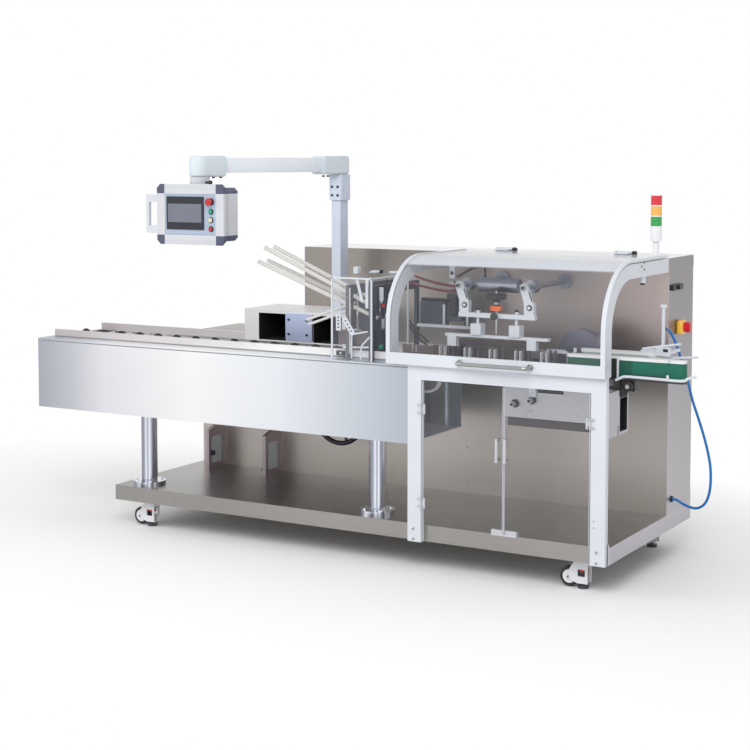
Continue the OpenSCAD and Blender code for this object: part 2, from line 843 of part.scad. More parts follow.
// Bow handle on the hood's front rail, with a round foot at each end
handle_left = hood_x + 365;
handle_l = 330;
handle_d = 17;
handle_reach = 42;
handle_r = 20;
handle_foot_d = 28;
handle_foot_t = 6;
module hood_handle() {
    z = table_z + hood_rail_h / 2;
    right = handle_left + handle_l;
    color("silver") placed() {
        for (x = [handle_left, right]) translate([x, hood_front, z]) rotate([90, 0, 0]) {
            cylinder(d = handle_d, h = handle_reach - handle_r);
            cylinder(d = handle_foot_d, h = handle_foot_t);
        }
        bar_x([handle_left + handle_r, hood_front - handle_reach, z], handle_d, handle_l - 2 * handle_r);
        for (s = [0, 1])
            translate([s == 0 ? handle_left + handle_r : right - handle_r,
                       hood_front - handle_reach + handle_r, z])
                rotate([0, 0, s == 0 ? 180 : 270]) rotate_extrude(angle = 90)
                    translate([handle_r, 0]) circle(d = handle_d);
    }
}

// A door leaf of clear sheet between two edges
module door_leaf(a, b) {
    color("lightcyan", 0.5) placed() block([a, door_front, door_z], [b, door_front + door_t, door_top]);
}
module left_door() {
    door_leaf(door_left, door_middle - door_gap / 2);
}
module right_door() {
    door_leaf(door_middle + door_gap / 2, door_right);
}

// Heights of the hinges of each door; the right door has only its upper one
left_hinges = [door_low_z, door_high_z];
right_hinges = [door_high_z];
door_handle_z = 396;
door_handle_d = 14;
door_handle_reach = 30;
door_handle_foot_d = 10;
door_handle_in = 19;

// Moving half of a door's hinges, and its handle; s is 1 for a leaf to the right of its axis
module door_fittings(axis, s, heights, handle_x) {
    knuckle_room = 0.5;
    color("gainsboro") placed() {
        for (z = heights) difference() {
            union() {
                translate([axis + (s > 0 ? 0 : -door_hinge_w), door_front - door_hinge_t, z - door_hinge_h / 2])
                    cube([door_hinge_w, door_hinge_t, door_hinge_h]);
                bar_z([axis, door_axis_y, z - door_hinge_h / 4], door_knuckle_d, door_hinge_h / 2);
            }
            bar_z([axis, door_axis_y, z - door_hinge_h], door_pin_d + 2 * fit, 2 * door_hinge_h);
            for (k = [-1, 1])
                translate([axis - door_knuckle_d, door_front - door_knuckle_d - cut,
                           z + k * door_hinge_h * 3 / 8 - door_hinge_h / 8 - knuckle_room])
                    cube([2 * door_knuckle_d, door_knuckle_d + cut, door_hinge_h / 4 + 2 * knuckle_room]);
        }
        for (z = [door_handle_z + door_handle_foot_d, door_handle_z + door_handle_l - door_handle_foot_d])
            bar_y([handle_x, door_front - door_handle_reach, z], door_handle_foot_d, door_handle_reach);
        bar_z([handle_x, door_front - door_handle_reach, door_handle_z], door_handle_d, door_handle_l);
    }
}
module left_door_fittings() {
    door_fittings(door_left_axis, 1, left_hinges, door_middle - door_handle_in);
}
module right_door_fittings() {
    door_fittings(door_right_axis, -1, right_hinges, door_middle + door_handle_in);
}

// Fixed half of one door hinge, with its pin; s is 1 for a leaf to the right of its axis
module fixed_hinge(axis, s, z) {
    bar_z([axis, door_axis_y, z - door_hinge_h / 2], door_pin_d, door_hinge_h);
    for (k = [-1, 1]) {
        zk = z + k * door_hinge_h * 3 / 8 - door_hinge_h / 8;
        bar_z([axis, door_axis_y, zk], door_knuckle_d, door_hinge_h / 4);
        translate([axis + (s > 0 ? 0 : -door_hinge_w), door_front - door_hinge_t, zk])
            cube([door_hinge_w, door_hinge_t, door_hinge_h / 4]);
    }
}

// Fixed halves of the door hinges, and the catch on the plinth
catch_l = 120;
catch_w = 26;
module door_hardware() {
    catch_y = door_front + door_t + 1;
    color("gainsboro") placed() {
        for (z = left_hinges) fixed_hinge(door_left_axis, -1, z);
        for (z = right_hinges) fixed_hinge(door_right_axis, 1, z);
        block([door_middle - catch_l / 2, catch_y, plinth_h],
              [door_middle + catch_l / 2, catch_y + catch_w, plinth_h + catch_w]);
    }
}

// Press unit under the hood: two shafts out of the cabinet, joined by a round
// body, carry two links, a cross bar and the pressing rail

press_y = 250;
press_xs = [1782, 2099];
press_z = 1118;
press_shaft_d = 24;
press_boss_d = 70;
press_boss_t = 16;
press_collar_d = 60;
press_collar_l = 44;
press_body_d = 64;
press_body_in = 62;
press_body_y = press_y + 84;
link_t = 18;
link_w = 38;
link_l = 92;
link_angle = 17;
module press_carrier() {
    body_l = press_xs[1] - press_xs[0] - 2 * press_body_in;
    color("lightslategray") placed() {
        for (x = press_xs) {
            bar_y([x, press_y - link_t / 2, press_z], press_shaft_d, cabinet_front - press_y + link_t / 2);
            bar_y([x, cabinet_front - press_boss_t, press_z], press_boss_d, press_boss_t);
            bar_y([x, press_body_y - press_collar_l / 2, press_z], press_collar_d, press_collar_l);
        }
        bar_x([press_xs[0], press_body_y, press_z], press_shaft_d, press_xs[1] - press_xs[0]);
        bar_x([press_xs[0] + press_body_in, press_body_y, press_z], press_body_d, body_l);
        bar_y([closing_x, closing_y, closing_z], closing_d, closing_t);
        bar_y([closing_x, closing_y + closing_t, closing_z], press_shaft_d, cabinet_front - closing_y - closing_t);
    }
}
// Flat wheel behind the carton track that folds the flaps
closing_d = 206;
closing_t = 50;
closing_z = bed_top + closing_d / 2 + 4;
closing_in = 54;
closing_x = belt_left - closing_in;
closing_y = 410;

// A link with round ends that hangs from a shaft, drawn in X and Z
module press_link(x) {
    translate([x, press_z]) rotate(link_angle) {
        translate([-link_w / 2, -link_l]) square([link_w, link_l]);
        for (z = [0, -link_l]) translate([0, z]) circle(d = link_w);
    }
}
cross_h = 20;
cross_w = 30;
cross_over = 55;
cross_top = 998;
link_foot_l = 46;
link_foot_h = 54;
rod_d = 13;
rod_in = [90, -38];
cube_w = 50;
cube_top = 950;
rail_h = 12;
rail_over = [68, 120];
rail_top = cube_top - cube_w;
rail_foot_l = 44;
rail_foot_h = 44;
rail_foot_in = [12, -18];
module press_bar() {
    y_front = press_y - cross_w / 2;
    y_back = press_y + cross_w / 2;
    lean = link_l * sin(link_angle);
    color("white") placed() difference() {
        union() {
            for (x = press_xs) {
                along_y(press_y + link_t / 2, link_t) press_link(x);
                block([x + lean - link_foot_l / 2, y_front, cross_top],
                      [x + lean + link_foot_l / 2, y_back, cross_top + link_foot_h]);
            }
            block([press_xs[0], y_front, cross_top - cross_h], [press_xs[1] + cross_over, y_back, cross_top]);
            for (k = [0, 1]) {
                x = press_xs[k] + rod_in[k];
                bar_z([x, press_y, cube_top], rod_d, cross_top - cross_h - cube_top);
                block([x - cube_w / 2, press_y - cube_w / 2, rail_top],
                      [x + cube_w / 2, press_y + cube_w / 2, cube_top]);
                foot_x = press_xs[k] - (k == 0 ? rail_over[0] - rail_foot_in[0] : rail_foot_in[1]);
                block([foot_x, y_front, rail_top - rail_h - rail_foot_h],
                      [foot_x + rail_foot_l, y_back, rail_top - rail_h]);
            }
            block([press_xs[0] - rail_over[0], y_front, rail_top - rail_h],
                  [press_xs[1] + rail_over[1], y_back, rail_top]);
        }
        for (x = press_xs) bar_y([x, press_y - link_w, press_z], press_shaft_d + 2 * fit, 2 * link_w);
    }
}

// Discharge: two upright belts that carry the closed cartons out

belt_bottom = table_z - 13;
// The rear belt starts earlier and ends well before the front one
rear_belt_less = 121;
module belt_plan(r, l) {
    square_l = l - 2 * belt_r;
    translate([0, -r]) square([square_l, 2 * r]);
    for (x = [0, square_l]) translate([x, 0]) circle(r);
}
// Start, place and length of each belt, and the right end of its support
belt_runs = [
    [belt_left + belt_r, belt_y, belt_l, frame_right],
    [belt_left + belt_r - rear_belt_short, belt_y + belt_span, belt_l - rear_belt_less, bed_right]
];
module discharge_belts() {
    color("seagreen") placed() for (p = belt_runs)
        translate([p[0], p[1], belt_bottom]) linear_extrude(belt_h) difference() {
            belt_plan(belt_r, p[2]);
            belt_plan(belt_r - belt_t, p[2]);
        }
}

belt_leg = 28;
module discharge_frame() {
    color("white") placed() for (p = belt_runs) {
        translate([p[0], p[1], belt_bottom - rail_t]) linear_extrude(rail_t) belt_plan(belt_r, p[2]);
        translate([p[0], p[1], belt_bottom]) linear_extrude(belt_h) belt_plan(belt_r - belt_t - fit, p[2]);
        translate([p[0], p[1], belt_bottom + belt_h]) linear_extrude(rail_t) belt_plan(belt_r, p[2]);
        for (x = [p[0] + belt_leg / 4, p[3] - 1.25 * belt_leg])
            block([x, p[1] - belt_leg / 2, bed_top], [x + belt_leg, p[1] + belt_leg / 2, belt_bottom - rail_t]);
    }
}

// Adjusting post on a plate over the rear belt, with the air inlet at its back;
// it stands where the hose ends, so it stays put when the belts are set apart
adjuster_in = 200;
adjuster_x = belt_right - adjuster_in;
adjuster_y = 420;
adjuster_h = 176;
adjuster_d = 16;
adjuster_head_d = 30;
adjuster_head_h = 14;
adjuster_plate_l = 134;
adjuster_plate_t = 12;
adjuster_plate_z = belt_bottom + belt_h + rail_t;
inlet_z = 950;
module adjuster_post() {
    z = adjuster_plate_z + adjuster_plate_t;
    color("white") placed() {
        block([adjuster_x - adjuster_plate_l / 2, belt_y + belt_span - belt_r, adjuster_plate_z],
              [adjuster_x + adjuster_plate_l / 2, adjuster_y + adjuster_head_d, z]);
        bar_z([adjuster_x, adjuster_y, z], adjuster_d, adjuster_h);
        for (h = [0, adjuster_h]) bar_z([adjuster_x, adjuster_y, z + h], adjuster_head_d, adjuster_head_h);
    }
}

// Drive box under the bed: a front plate with two shaft ends, and an open right end
drive_l = 522;
drive_h = 166;
drive_step = 40;
drive_shafts = [[52, -66], [133, -46]];
drive_shaft_d = 22;
drive_shaft_l = 36;
module drive_box() {
    x = frame_right - drive_l;
    top = bed_top - bed_t;
    low = top - drive_h;
    inner = drive_y + drive_plate_t;
    color("lightgray") placed() {
        difference() {
            block([x + drive_plate_t, inner, low], [frame_right, drive_y + drive_d, top]);
            block([frame_right - drive_d, inner + drive_plate_t, low + drive_plate_t],
                  [frame_right + cut, drive_y + drive_d - drive_plate_t, top - drive_plate_t]);
        }
        block([x, drive_y, low + drive_step], [frame_right, inner, bed_top]);
        block([frame_right - drive_plate_t, 0, low], [frame_right, drive_y, bed_top]);
        for (p = drive_shafts)
            bar_y([x + p[0], drive_y - drive_shaft_l, top + p[1]], drive_shaft_d, drive_shaft_l);
    }
}

// Air hose

hose_steps = 3;
hose_sides = 10;
// A point on the smooth line through the route, at a place counted in points
function route_at(u) =
    let(
        n = len(hose_route),
        i = min(floor(u), n - 2),
        t = u - i,
        a = hose_route[max(i - 1, 0)],
        b = hose_route[i],
        c = hose_route[i + 1],
        d = hose_route[min(i + 2, n - 1)]
    )
    0.5 * (2 * b + (c - a) * t + (2 * a - 5 * b + 4 * c - d) * t * t + (3 * b - a - 3 * c + d) * t * t * t);
function unit(v) = v / norm(v);
function ring(p, dir) =
    let(
        side = unit(cross(dir, [0, 1, 0])),
        up = cross(side, dir)
    )
    [for (k = [0 : hose_sides - 1])
        let(a = 360 * k / hose_sides)
        p + hose_d / 2 * (side * cos(a) + up * sin(a))];
module air_hose() {
    last = hose_steps * (len(hose_route) - 1);
    path = [for (j = [0 : last]) route_at(j / hose_steps)];
    rings = [for (j = [0 : last]) ring(path[j], unit(path[min(j + 1, last)] - path[max(j - 1, 0)]))];
    points = [for (r = rings) each r];
    sides = [for (j = [0 : last - 1], k = [0 : hose_sides - 1])
        let(m = (k + 1) % hose_sides)
        [j * hose_sides + k, j * hose_sides + m, (j + 1) * hose_sides + m, (j + 1) * hose_sides + k]];
    start = [for (k = [hose_sides - 1 : -1 : 0]) k];
    finish = [for (k = [0 : hose_sides - 1]) last * hose_sides + k];
    color("royalblue") placed() polyhedron(points, concat([start], sides, [finish]));
}

inlet_y = 452;
gland_y = cabinet_front + 65;
gland_z = 138;
gland_d = 30;
gland_l = 6;
inlet_d = 14;
module hose_fittings() {
    color("gray") placed() {
        bar_x([plinth_l, gland_y, gland_z], gland_d, gland_l);
        difference() {
            bar_y([adjuster_x, adjuster_y, inlet_z], inlet_d, inlet_y - adjuster_y);
            bar_z([adjuster_x, adjuster_y, inlet_z - inlet_d], adjuster_d, 2 * inlet_d);
        }
    }
}

// Signal tower

tower_ball_h = 70;
tower_white_h = 66;
lamp_gap = 3.6;
lamp_z = cabinet_top + tower_ball_h + tower_white_h;
tower_foot_d = 62;
tower_foot_h = 12;
tower_neck_d = 30;
module tower_body() {
    color("white") placed() translate([tower_x, tower_y, cabinet_top]) {
        bar_z([0, 0, 0], tower_foot_d, tower_foot_h);
        bar_z([0, 0, tower_foot_h], tower_neck_d, tower_ball_h - tower_foot_h);
        bar_z([0, 0, tower_ball_h], tower_d, tower_white_h);
    }
}
module lamp(level) {
    z = lamp_z + level * (lamp_h + lamp_gap);
    placed() bar_z([tower_x, tower_y, z], tower_d, lamp_h + lamp_gap);
}
module green_lamp() {
    color("limegreen") lamp(0);
}
module amber_lamp() {
    color("orange") lamp(1);
}
module red_lamp() {
    color("red") lamp(2);
}

// Panel arm

collar_top = arm_z - 47;
spigot_d = 36;
spigot_h = 24;
column_foot_t = 12;
column_foot_rim = 20;
collar_rim = 11;
module arm_column() {
    mast_z = column_foot + column_foot_t;
    color("lightsteelblue") placed() translate([column_x, column_y, 0]) {
        translate([-column_w / 2 - column_foot_rim, -column_d / 2 - column_foot_rim, column_foot])
            cube([column_w + 2 * column_foot_rim, column_d + 2 * column_foot_rim, column_foot_t]);
        translate([-column_w / 2, -column_d / 2, mast_z])
            cube([column_w, column_d, collar_top - collar_h - mast_z]);
        translate([-column_w / 2 - collar_rim, -column_d / 2 - collar_rim, collar_top - collar_h])
            linear_extrude(collar_h) round_rect(column_w + 2 * collar_rim, column_d + 2 * collar_rim, 10);
        bar_z([0, 0, collar_top], spigot_d, spigot_h);
    }
}

elbow_d = 92;
elbow_l = 150;
hanger_elbow_l = 118;
elbow_top = arm_z + 42;
hang_z = arm_z - 52;
neck_d = 88;
neck_pin_d = 28;
neck_pin_h = 24;
// An elbow round an upright axis that reaches along the arm; s is -1 at the column
module elbow(y, s, low, l) {
    translate([0, y, low]) linear_extrude(elbow_top - low) {
        circle(d = elbow_d);
        translate([-elbow_d / 2, s > 0 ? 0 : -l]) square([elbow_d, l]);
    }
}
module panel_arm() {
    color("gainsboro") placed() translate([column_x, column_y, 0]) rotate([0, 0, -arm_angle]) difference() {
        union() {
            elbow(0, -1, collar_top + fit, elbow_l);
            translate([-column_w / 2, hanger_elbow_l - arm_l, arm_z - arm_h / 2])
                cube([column_w, arm_l - hanger_elbow_l - elbow_l, arm_h]);
            elbow(-arm_l, 1, hang_z, hanger_elbow_l);
            bar_z([0, -arm_l, hang_z - neck_pin_h], neck_pin_d, neck_pin_h);
        }
        bar_z([0, 0, collar_top], spigot_d + 2 * fit, spigot_h + fit);
    }
}

// Panel frame at the hanger
module at_panel() {
    placed() translate([hang_x, hang_y, panel_bottom]) children();
}
corner = 42;
corner_cut = 18;
face_rim = 44;
face_recess = 4;
// The case is a front frame with a smaller box behind it
panel_frame_d = 20;
panel_step = 16;
panel_back = panel_d - panel_reach;
module case_outline(step) {
    translate([-panel_w / 2 + corner, step]) square([panel_w - 2 * corner, panel_h - 2 * step]);
    translate([-panel_w / 2 + step, corner]) square([panel_w - 2 * step, panel_h - 2 * corner]);
}
module panel_case() {
    color("lightsteelblue") at_panel() difference() {
        union() {
            along_y(panel_frame_d - panel_reach, panel_frame_d) case_outline(0);
            along_y(panel_back, panel_d - panel_frame_d) case_outline(panel_step);
            bar_z([0, 0, panel_h - panel_step], neck_d, hang_z - panel_top - fit + panel_step);
        }
        bar_z([0, 0, panel_h - neck_pin_h], neck_pin_d + 2 * fit, 4 * neck_pin_h);
        along_y(face_recess - panel_reach, face_recess + cut) translate([-panel_w / 2 + face_rim, face_rim])
            square([panel_w - 2 * face_rim, panel_h - 2 * face_rim]);
    }
}

module panel_corners() {
    color("slategray") at_panel() for (sx = [-1, 1], top = [0, 1]) {
        along_y(panel_frame_d - panel_reach, panel_frame_d) corner_profile(sx, top, 0);
        along_y(panel_back, panel_d - panel_frame_d) corner_profile(sx, top, panel_step);
    }
}
module corner_profile(sx, top, step) {
    chamfer = max(corner_cut, 2 * step);
    translate([sx * panel_w / 2, top * panel_h]) scale([-sx, top == 1 ? -1 : 1])
        polygon([
            [chamfer, step], [corner, step], [corner, corner], [step, corner], [step, chamfer]
        ]);
}

bezel_in = 11;
button_room = 62;
bezel_w = panel_w - 2 * face_rim - bezel_in - button_room;
bezel_h = 146;
bezel_t = 7;
bezel_lift = 6;
module panel_screen() {
    color("black") at_panel() along_y(face_recess - panel_reach, bezel_t)
        translate([-panel_w / 2 + face_rim + bezel_in, (panel_h - bezel_h) / 2 + bezel_lift])
            round_rect(bezel_w, bezel_h, 4);
}

button_in = 68;
button_d = 26;
button_reach = 12;
stop_button_d = 34;
button_zs = [14, -23, -62];
stop_button_z = 57;
module panel_buttons() {
    color("red") at_panel() translate([panel_w / 2 - button_in, face_recess - panel_reach, panel_h / 2])
        rotate([90, 0, 0]) {
            translate([0, stop_button_z]) cylinder(d = stop_button_d, h = stop_reach + face_recess);
            for (z = button_zs) translate([0, z]) cylinder(d = button_d, h = button_reach + face_recess);
        }
}

// Moulded handle on the left side of the panel
grip_reach = 62;
grip_d = 16;
grip_leg_h = 34;
grip_in = 48;
grip_y = 9 - panel_reach;
module panel_handle() {
    x = -panel_w / 2 - grip_reach;
    color("white") at_panel() {
        for (z = [grip_in, panel_h - grip_in - grip_leg_h])
            block([x, grip_y - grip_d / 2, z], [-panel_w / 2, grip_y + grip_d / 2, z + grip_leg_h]);
        block([x, grip_y - grip_d / 2, grip_in + grip_leg_h],
              [x + grip_d, grip_y + grip_d / 2, panel_h - grip_in - grip_leg_h]);
    }
}

plinth();
cabinet();
isolator_base();
isolator_knob();
cabinet_latch();
hand_wheel();
support_gussets();
infeed_skirts();
infeed_pan();
infeed_legs();
guide_rails();
bucket_chain();
table_plate();
pusher_housing();
pusher_plate();
magazine_rods();
magazine_frame();
magazine_guard();
machine_bed();
carton_chain();
guard_frame();
side_arches();
left_door();
left_door_fittings();
right_door();
right_door_fittings();
door_hardware();
hood_sheet();
hood_frame();
hood_handle();
hood_hinges();
press_carrier();
press_bar();
discharge_frame();
discharge_belts();
adjuster_post();
drive_box();
air_hose();
hose_fittings();
tower_body();
green_lamp();
amber_lamp();
red_lamp();
arm_column();
panel_arm();
panel_case();
panel_corners();
panel_screen();
panel_buttons();
panel_handle();
caster_plates();
caster_fork(caster_xs[0], caster_ys[0]);  // caster_fork_1
caster_fork(caster_xs[1], caster_ys[0]);  // caster_fork_2
caster_fork(caster_xs[0], caster_ys[1]);  // caster_fork_3
caster_fork(caster_xs[1], caster_ys[1]);  // caster_fork_4
caster_wheel(caster_xs[0], caster_ys[0]);  // caster_wheel_1
caster_wheel(caster_xs[1], caster_ys[0]);  // caster_wheel_2
caster_wheel(caster_xs[0], caster_ys[1]);  // caster_wheel_3
caster_wheel(caster_xs[1], caster_ys[1]);  // caster_wheel_4
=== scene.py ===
# %% [markdown]
# # Dressing an automatic cartoner
# The machine comes in as a fixed frame of metal parts. This lesson gives every
# surface its finish and adds the small things that a maker fits last: screws,
# cables, knobs, screens and chain links. Nothing of the frame is moved.

import json
import math

import bmesh
import bpy
from mathutils import Matrix, Vector

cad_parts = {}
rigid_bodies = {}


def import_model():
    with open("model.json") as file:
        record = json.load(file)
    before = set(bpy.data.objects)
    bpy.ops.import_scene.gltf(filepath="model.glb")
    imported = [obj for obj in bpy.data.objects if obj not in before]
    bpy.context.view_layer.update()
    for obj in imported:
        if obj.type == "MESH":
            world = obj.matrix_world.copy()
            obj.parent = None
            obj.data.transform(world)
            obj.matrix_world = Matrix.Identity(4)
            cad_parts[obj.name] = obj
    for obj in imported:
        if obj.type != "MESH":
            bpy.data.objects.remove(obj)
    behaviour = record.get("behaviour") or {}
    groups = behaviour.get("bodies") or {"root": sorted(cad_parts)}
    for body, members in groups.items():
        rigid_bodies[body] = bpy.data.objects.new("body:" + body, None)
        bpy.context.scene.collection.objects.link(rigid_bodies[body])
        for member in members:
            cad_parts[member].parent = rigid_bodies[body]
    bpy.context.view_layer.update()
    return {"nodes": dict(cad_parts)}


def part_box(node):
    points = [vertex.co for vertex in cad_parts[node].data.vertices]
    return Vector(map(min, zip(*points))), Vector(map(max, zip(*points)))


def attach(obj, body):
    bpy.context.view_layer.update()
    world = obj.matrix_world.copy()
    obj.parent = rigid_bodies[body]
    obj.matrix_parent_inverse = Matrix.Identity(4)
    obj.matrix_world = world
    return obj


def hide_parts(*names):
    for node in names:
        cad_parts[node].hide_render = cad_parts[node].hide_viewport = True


for leftover in list(bpy.data.objects):
    bpy.data.objects.remove(leftover, do_unlink=True)
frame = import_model()
nodes = frame["nodes"]

# %% [markdown]
# The machine was laid out in millimetres from the front left bottom corner of
# its plinth. Keeping that habit here makes every place easy to read off, so one
# small function turns layout millimetres into metres of the frame.

# %% Layout millimetres to metres
MM = 0.001
CORNER = Vector(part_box("plinth")[0])


def at(x, y, z):
    """A place in layout millimetres, as a point of the frame in metres."""
    return CORNER + Vector((x, y, z)) * MM


print("plinth corner:", tuple(round(c, 4) for c in CORNER))

# %% [markdown]
# The camera stands to the right in front of the machine, a little below eye
# height, and looks slightly down. A small vertical shift keeps the upright edges
# of the cabinet nearly parallel, as an architectural lens does.

# %% Camera
CAMERA_PLACE = (4998.8, -6066.1, 1678.9)
CAMERA_AZIMUTH = 30.075
CAMERA_PITCH = 4.0
LENS = 76.0
SHIFT_Y = -0.1396

lens = bpy.data.cameras.new("studio_camera")
lens.lens = LENS
lens.sensor_width = 36.0
lens.shift_y = SHIFT_Y
lens.clip_end = 100.0
camera = bpy.data.objects.new("studio_camera", lens)
camera.location = at(*CAMERA_PLACE)
camera.rotation_euler = (math.radians(90 - CAMERA_PITCH), 0, math.radians(CAMERA_AZIMUTH))
bpy.context.scene.collection.objects.link(camera)
bpy.context.scene.camera = camera
print("camera at", tuple(round(c, 3) for c in camera.location))

# %% [markdown]
# Every finish below is a small network round one shader. Colours are written as
# the 0 to 255 numbers that a colour card gives, and turned into light values.
# Patterns read Object coordinates, so they keep their real scale on every piece.

# %% Nodes and colours
def wire(tree, source, target):
    """Joins two sockets."""
    tree.links.new(source, target)


def add(tree, kind, **sockets):
    """A new node with inputs set; an underscore in a socket's name stands for a space."""
    node = tree.nodes.new(kind)
    for socket, value in sockets.items():
        node.inputs[socket.replace("_", " ")].default_value = value
    return node


def card(red, green, blue):
    """A colour card's numbers as linear light."""
    scaled = [c / 255 for c in (red, green, blue)]
    return tuple(c / 12.92 if c <= 0.04045 else ((c + 0.055) / 1.055) ** 2.4 for c in scaled)


def shade(colour, factor):
    """A colour made darker or lighter."""
    return tuple(min(1.0, c * factor) for c in colour)


def start_finish(name, colour, metallic=0.0, rough=0.4, **sockets):
    """A new material with one shader; returns the material and its parts."""
    material = bpy.data.materials.new(name)
    material.use_nodes = True
    tree = material.node_tree
    shader = tree.nodes["Principled BSDF"]
    shader.inputs["Base Color"].default_value = (*colour, 1)
    shader.inputs["Metallic"].default_value = metallic
    shader.inputs["Roughness"].default_value = rough
    for socket, value in sockets.items():
        shader.inputs[socket.replace("_", " ")].default_value = value
    return material, tree, shader


# %% [markdown]
# Wear and grain come from noise, and a shaded field comes from the place along
# one axis. These helpers turn either into a number, a colour or a raised skin.

# %% Patterns on Object coordinates
def object_noise(tree, scale, stretch=(1, 1, 1), detail=3.0, rough=0.55):
    """A noise on Object coordinates; returns its value socket."""
    place = tree.nodes.new("ShaderNodeTexCoord")
    turn = add(tree, "ShaderNodeMapping", Scale=stretch)
    noise = add(tree, "ShaderNodeTexNoise", Scale=scale, Detail=detail, Roughness=rough)
    wire(tree, place.outputs["Object"], turn.inputs["Vector"])
    wire(tree, turn.outputs["Vector"], noise.inputs["Vector"])
    return noise.outputs["Fac"]


def to_range(tree, value, low, high, from_low=0.3, from_high=0.7):
    """Turns a value into numbers between two limits."""
    fit = add(tree, "ShaderNodeMapRange", From_Min=from_low, From_Max=from_high, To_Min=low, To_Max=high)
    wire(tree, value, fit.inputs["Value"])
    return fit.outputs["Result"]


def ramp_of(tree, value, stops):
    """A colour that runs through the stops as the value rises."""
    ramp = tree.nodes.new("ShaderNodeValToRGB")
    while len(ramp.color_ramp.elements) < len(stops):
        ramp.color_ramp.elements.new(0.5)
    for element, (position, colour) in zip(ramp.color_ramp.elements, stops):
        element.position = position
        element.color = (*colour, 1)
    wire(tree, value, ramp.inputs["Fac"])
    return ramp.outputs["Color"]


def add_bump(tree, shader, value, strength, distance):
    """Raises the surface where the value is high."""
    bump = add(tree, "ShaderNodeBump", Strength=strength, Distance=distance)
    wire(tree, value, bump.inputs["Height"])
    wire(tree, bump.outputs["Normal"], shader.inputs["Normal"])


def place_axis(tree, axis):
    """One axis of the Object coordinates, in metres."""
    place = tree.nodes.new("ShaderNodeTexCoord")
    split = tree.nodes.new("ShaderNodeSeparateXYZ")
    wire(tree, place.outputs["Object"], split.inputs["Vector"])
    return split.outputs[axis]


def combined(tree, first, second, operation="MULTIPLY"):
    """Two numbers joined; multiplied, they are high only where both are high."""
    node = tree.nodes.new("ShaderNodeMath")
    node.operation = operation
    wire(tree, first, node.inputs[0])
    wire(tree, second, node.inputs[1])
    return node.outputs[0]


def tint(material, value, low, high, stops):
    """Multiplies a finish's colour by stops between two values, as a reflected surround does."""
    tree = material.node_tree
    base = tree.nodes["Principled BSDF"].inputs["Base Color"]
    glow = tree.nodes.new("ShaderNodeMix")
    glow.data_type = "RGBA"
    glow.blend_type = "MULTIPLY"
    glow.inputs["Factor"].default_value = 1.0
    wire(tree, base.links[0].from_socket, glow.inputs["A"])
    wire(tree, ramp_of(tree, to_range(tree, value, 0.0, 1.0, low, high), stops), glow.inputs["B"])
    wire(tree, glow.outputs["Result"], base)


def tint_along(material, axis, low, high, first, last):
    """Tints a finish from one colour to another between two places on an axis."""
    tint(material, place_axis(material.node_tree, axis), low, high, [(0.0, first), (1.0, last)])


# %% [markdown]
# Sheet stainless is ground with a belt, which leaves fine lines all one way.
# They are a noise squeezed across the grain. A second, slow noise stands for the
# faint clouds that handling and reflections leave on a big panel.

# %% Brushed metal
def brushed_metal(name, colour, grain, rough, lines_by=0.05, cloud_by=0.08, aniso=0.3):
    """Ground metal sheet; grain holds the stretch of the fine lines."""
    material, tree, shader = start_finish(name, colour, 1.0, rough, Anisotropic=aniso)
    lines = object_noise(tree, 650.0, grain, 2.0)
    clouds = object_noise(tree, 1.1, (1, 1, 0.6), 1.0)
    spread = lines_by + cloud_by
    mix = add(tree, "ShaderNodeMix", Factor=lines_by / spread)
    wire(tree, clouds, mix.inputs["A"])
    wire(tree, lines, mix.inputs["B"])
    stops = [(0.3, shade(colour, 1 - spread)), (0.7, shade(colour, 1 + spread))]
    tone = ramp_of(tree, mix.outputs["Result"], stops)
    wire(tree, tone, shader.inputs["Base Color"])
    wire(tree, to_range(tree, lines, rough - 0.05, rough + 0.05), shader.inputs["Roughness"])
    add_bump(tree, shader, lines, 0.04, 0.0001)
    return material


UPRIGHT = (1.0, 1.0, 0.01)
ALONG = (0.01, 1.0, 1.0)
EVEN = (1.0, 1.0, 1.0)
AS_IS = (1.0, 1.0, 1.0)

# %% [markdown]
# The cabinet is one finish with painted reflection and shade, tinted by place as the room is mirrored in
# it. It is painted darker upward, its top is painted nearly white, its right end a cooler grey, and the
# front skin behind the clear hood is painted brighter, as is the plinth's right end.

# %% Stainless cabinet and plinth
SKIN = 0.002
END_PAINTED_REFLECTION, TOP_PAINTED_HIGHLIGHT, HOOD_PAINTED_LIGHT = (0.94, 0.97, 1.08), (2.7, 2.95, 3.2), (1.75, 1.65, 1.70)
PLINTH_PAINTED_REFLECTION = (1.40, 1.42, 1.60)
FRONT_PAINTED_SHADE_STOPS = [(0.0, AS_IS), (0.45, (0.80, 0.80, 0.80)), (0.75, (0.66, 0.65, 0.64)),
               (1.0, (0.62, 0.61, 0.60))]
CABINET_LOW, CABINET_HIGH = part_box("cabinet")
stainless = brushed_metal("brushed_stainless", card(186, 180, 175), UPRIGHT, 0.36)
tree = stainless.node_tree
# Painted shade: the front grows darker upward; then a painted highlight on the top skin and a painted
# cooler reflection on the right end.
tint(stainless, place_axis(tree, "Z"), CABINET_LOW[2], CABINET_HIGH[2], FRONT_PAINTED_SHADE_STOPS)
tint_along(stainless, "X", CABINET_HIGH[0] - SKIN, CABINET_HIGH[0] - SKIN / 2, AS_IS, END_PAINTED_REFLECTION)
tint_along(stainless, "Z", CABINET_HIGH[2] - SKIN, CABINET_HIGH[2] - SKIN / 2, AS_IS, TOP_PAINTED_HIGHLIGHT)
HOOD_SIDE, HOOD_FOOT, FRONT_SKIN = at(1650, 0, 0).x, at(0, 0, 740).z, at(0, 702.5, 0).y
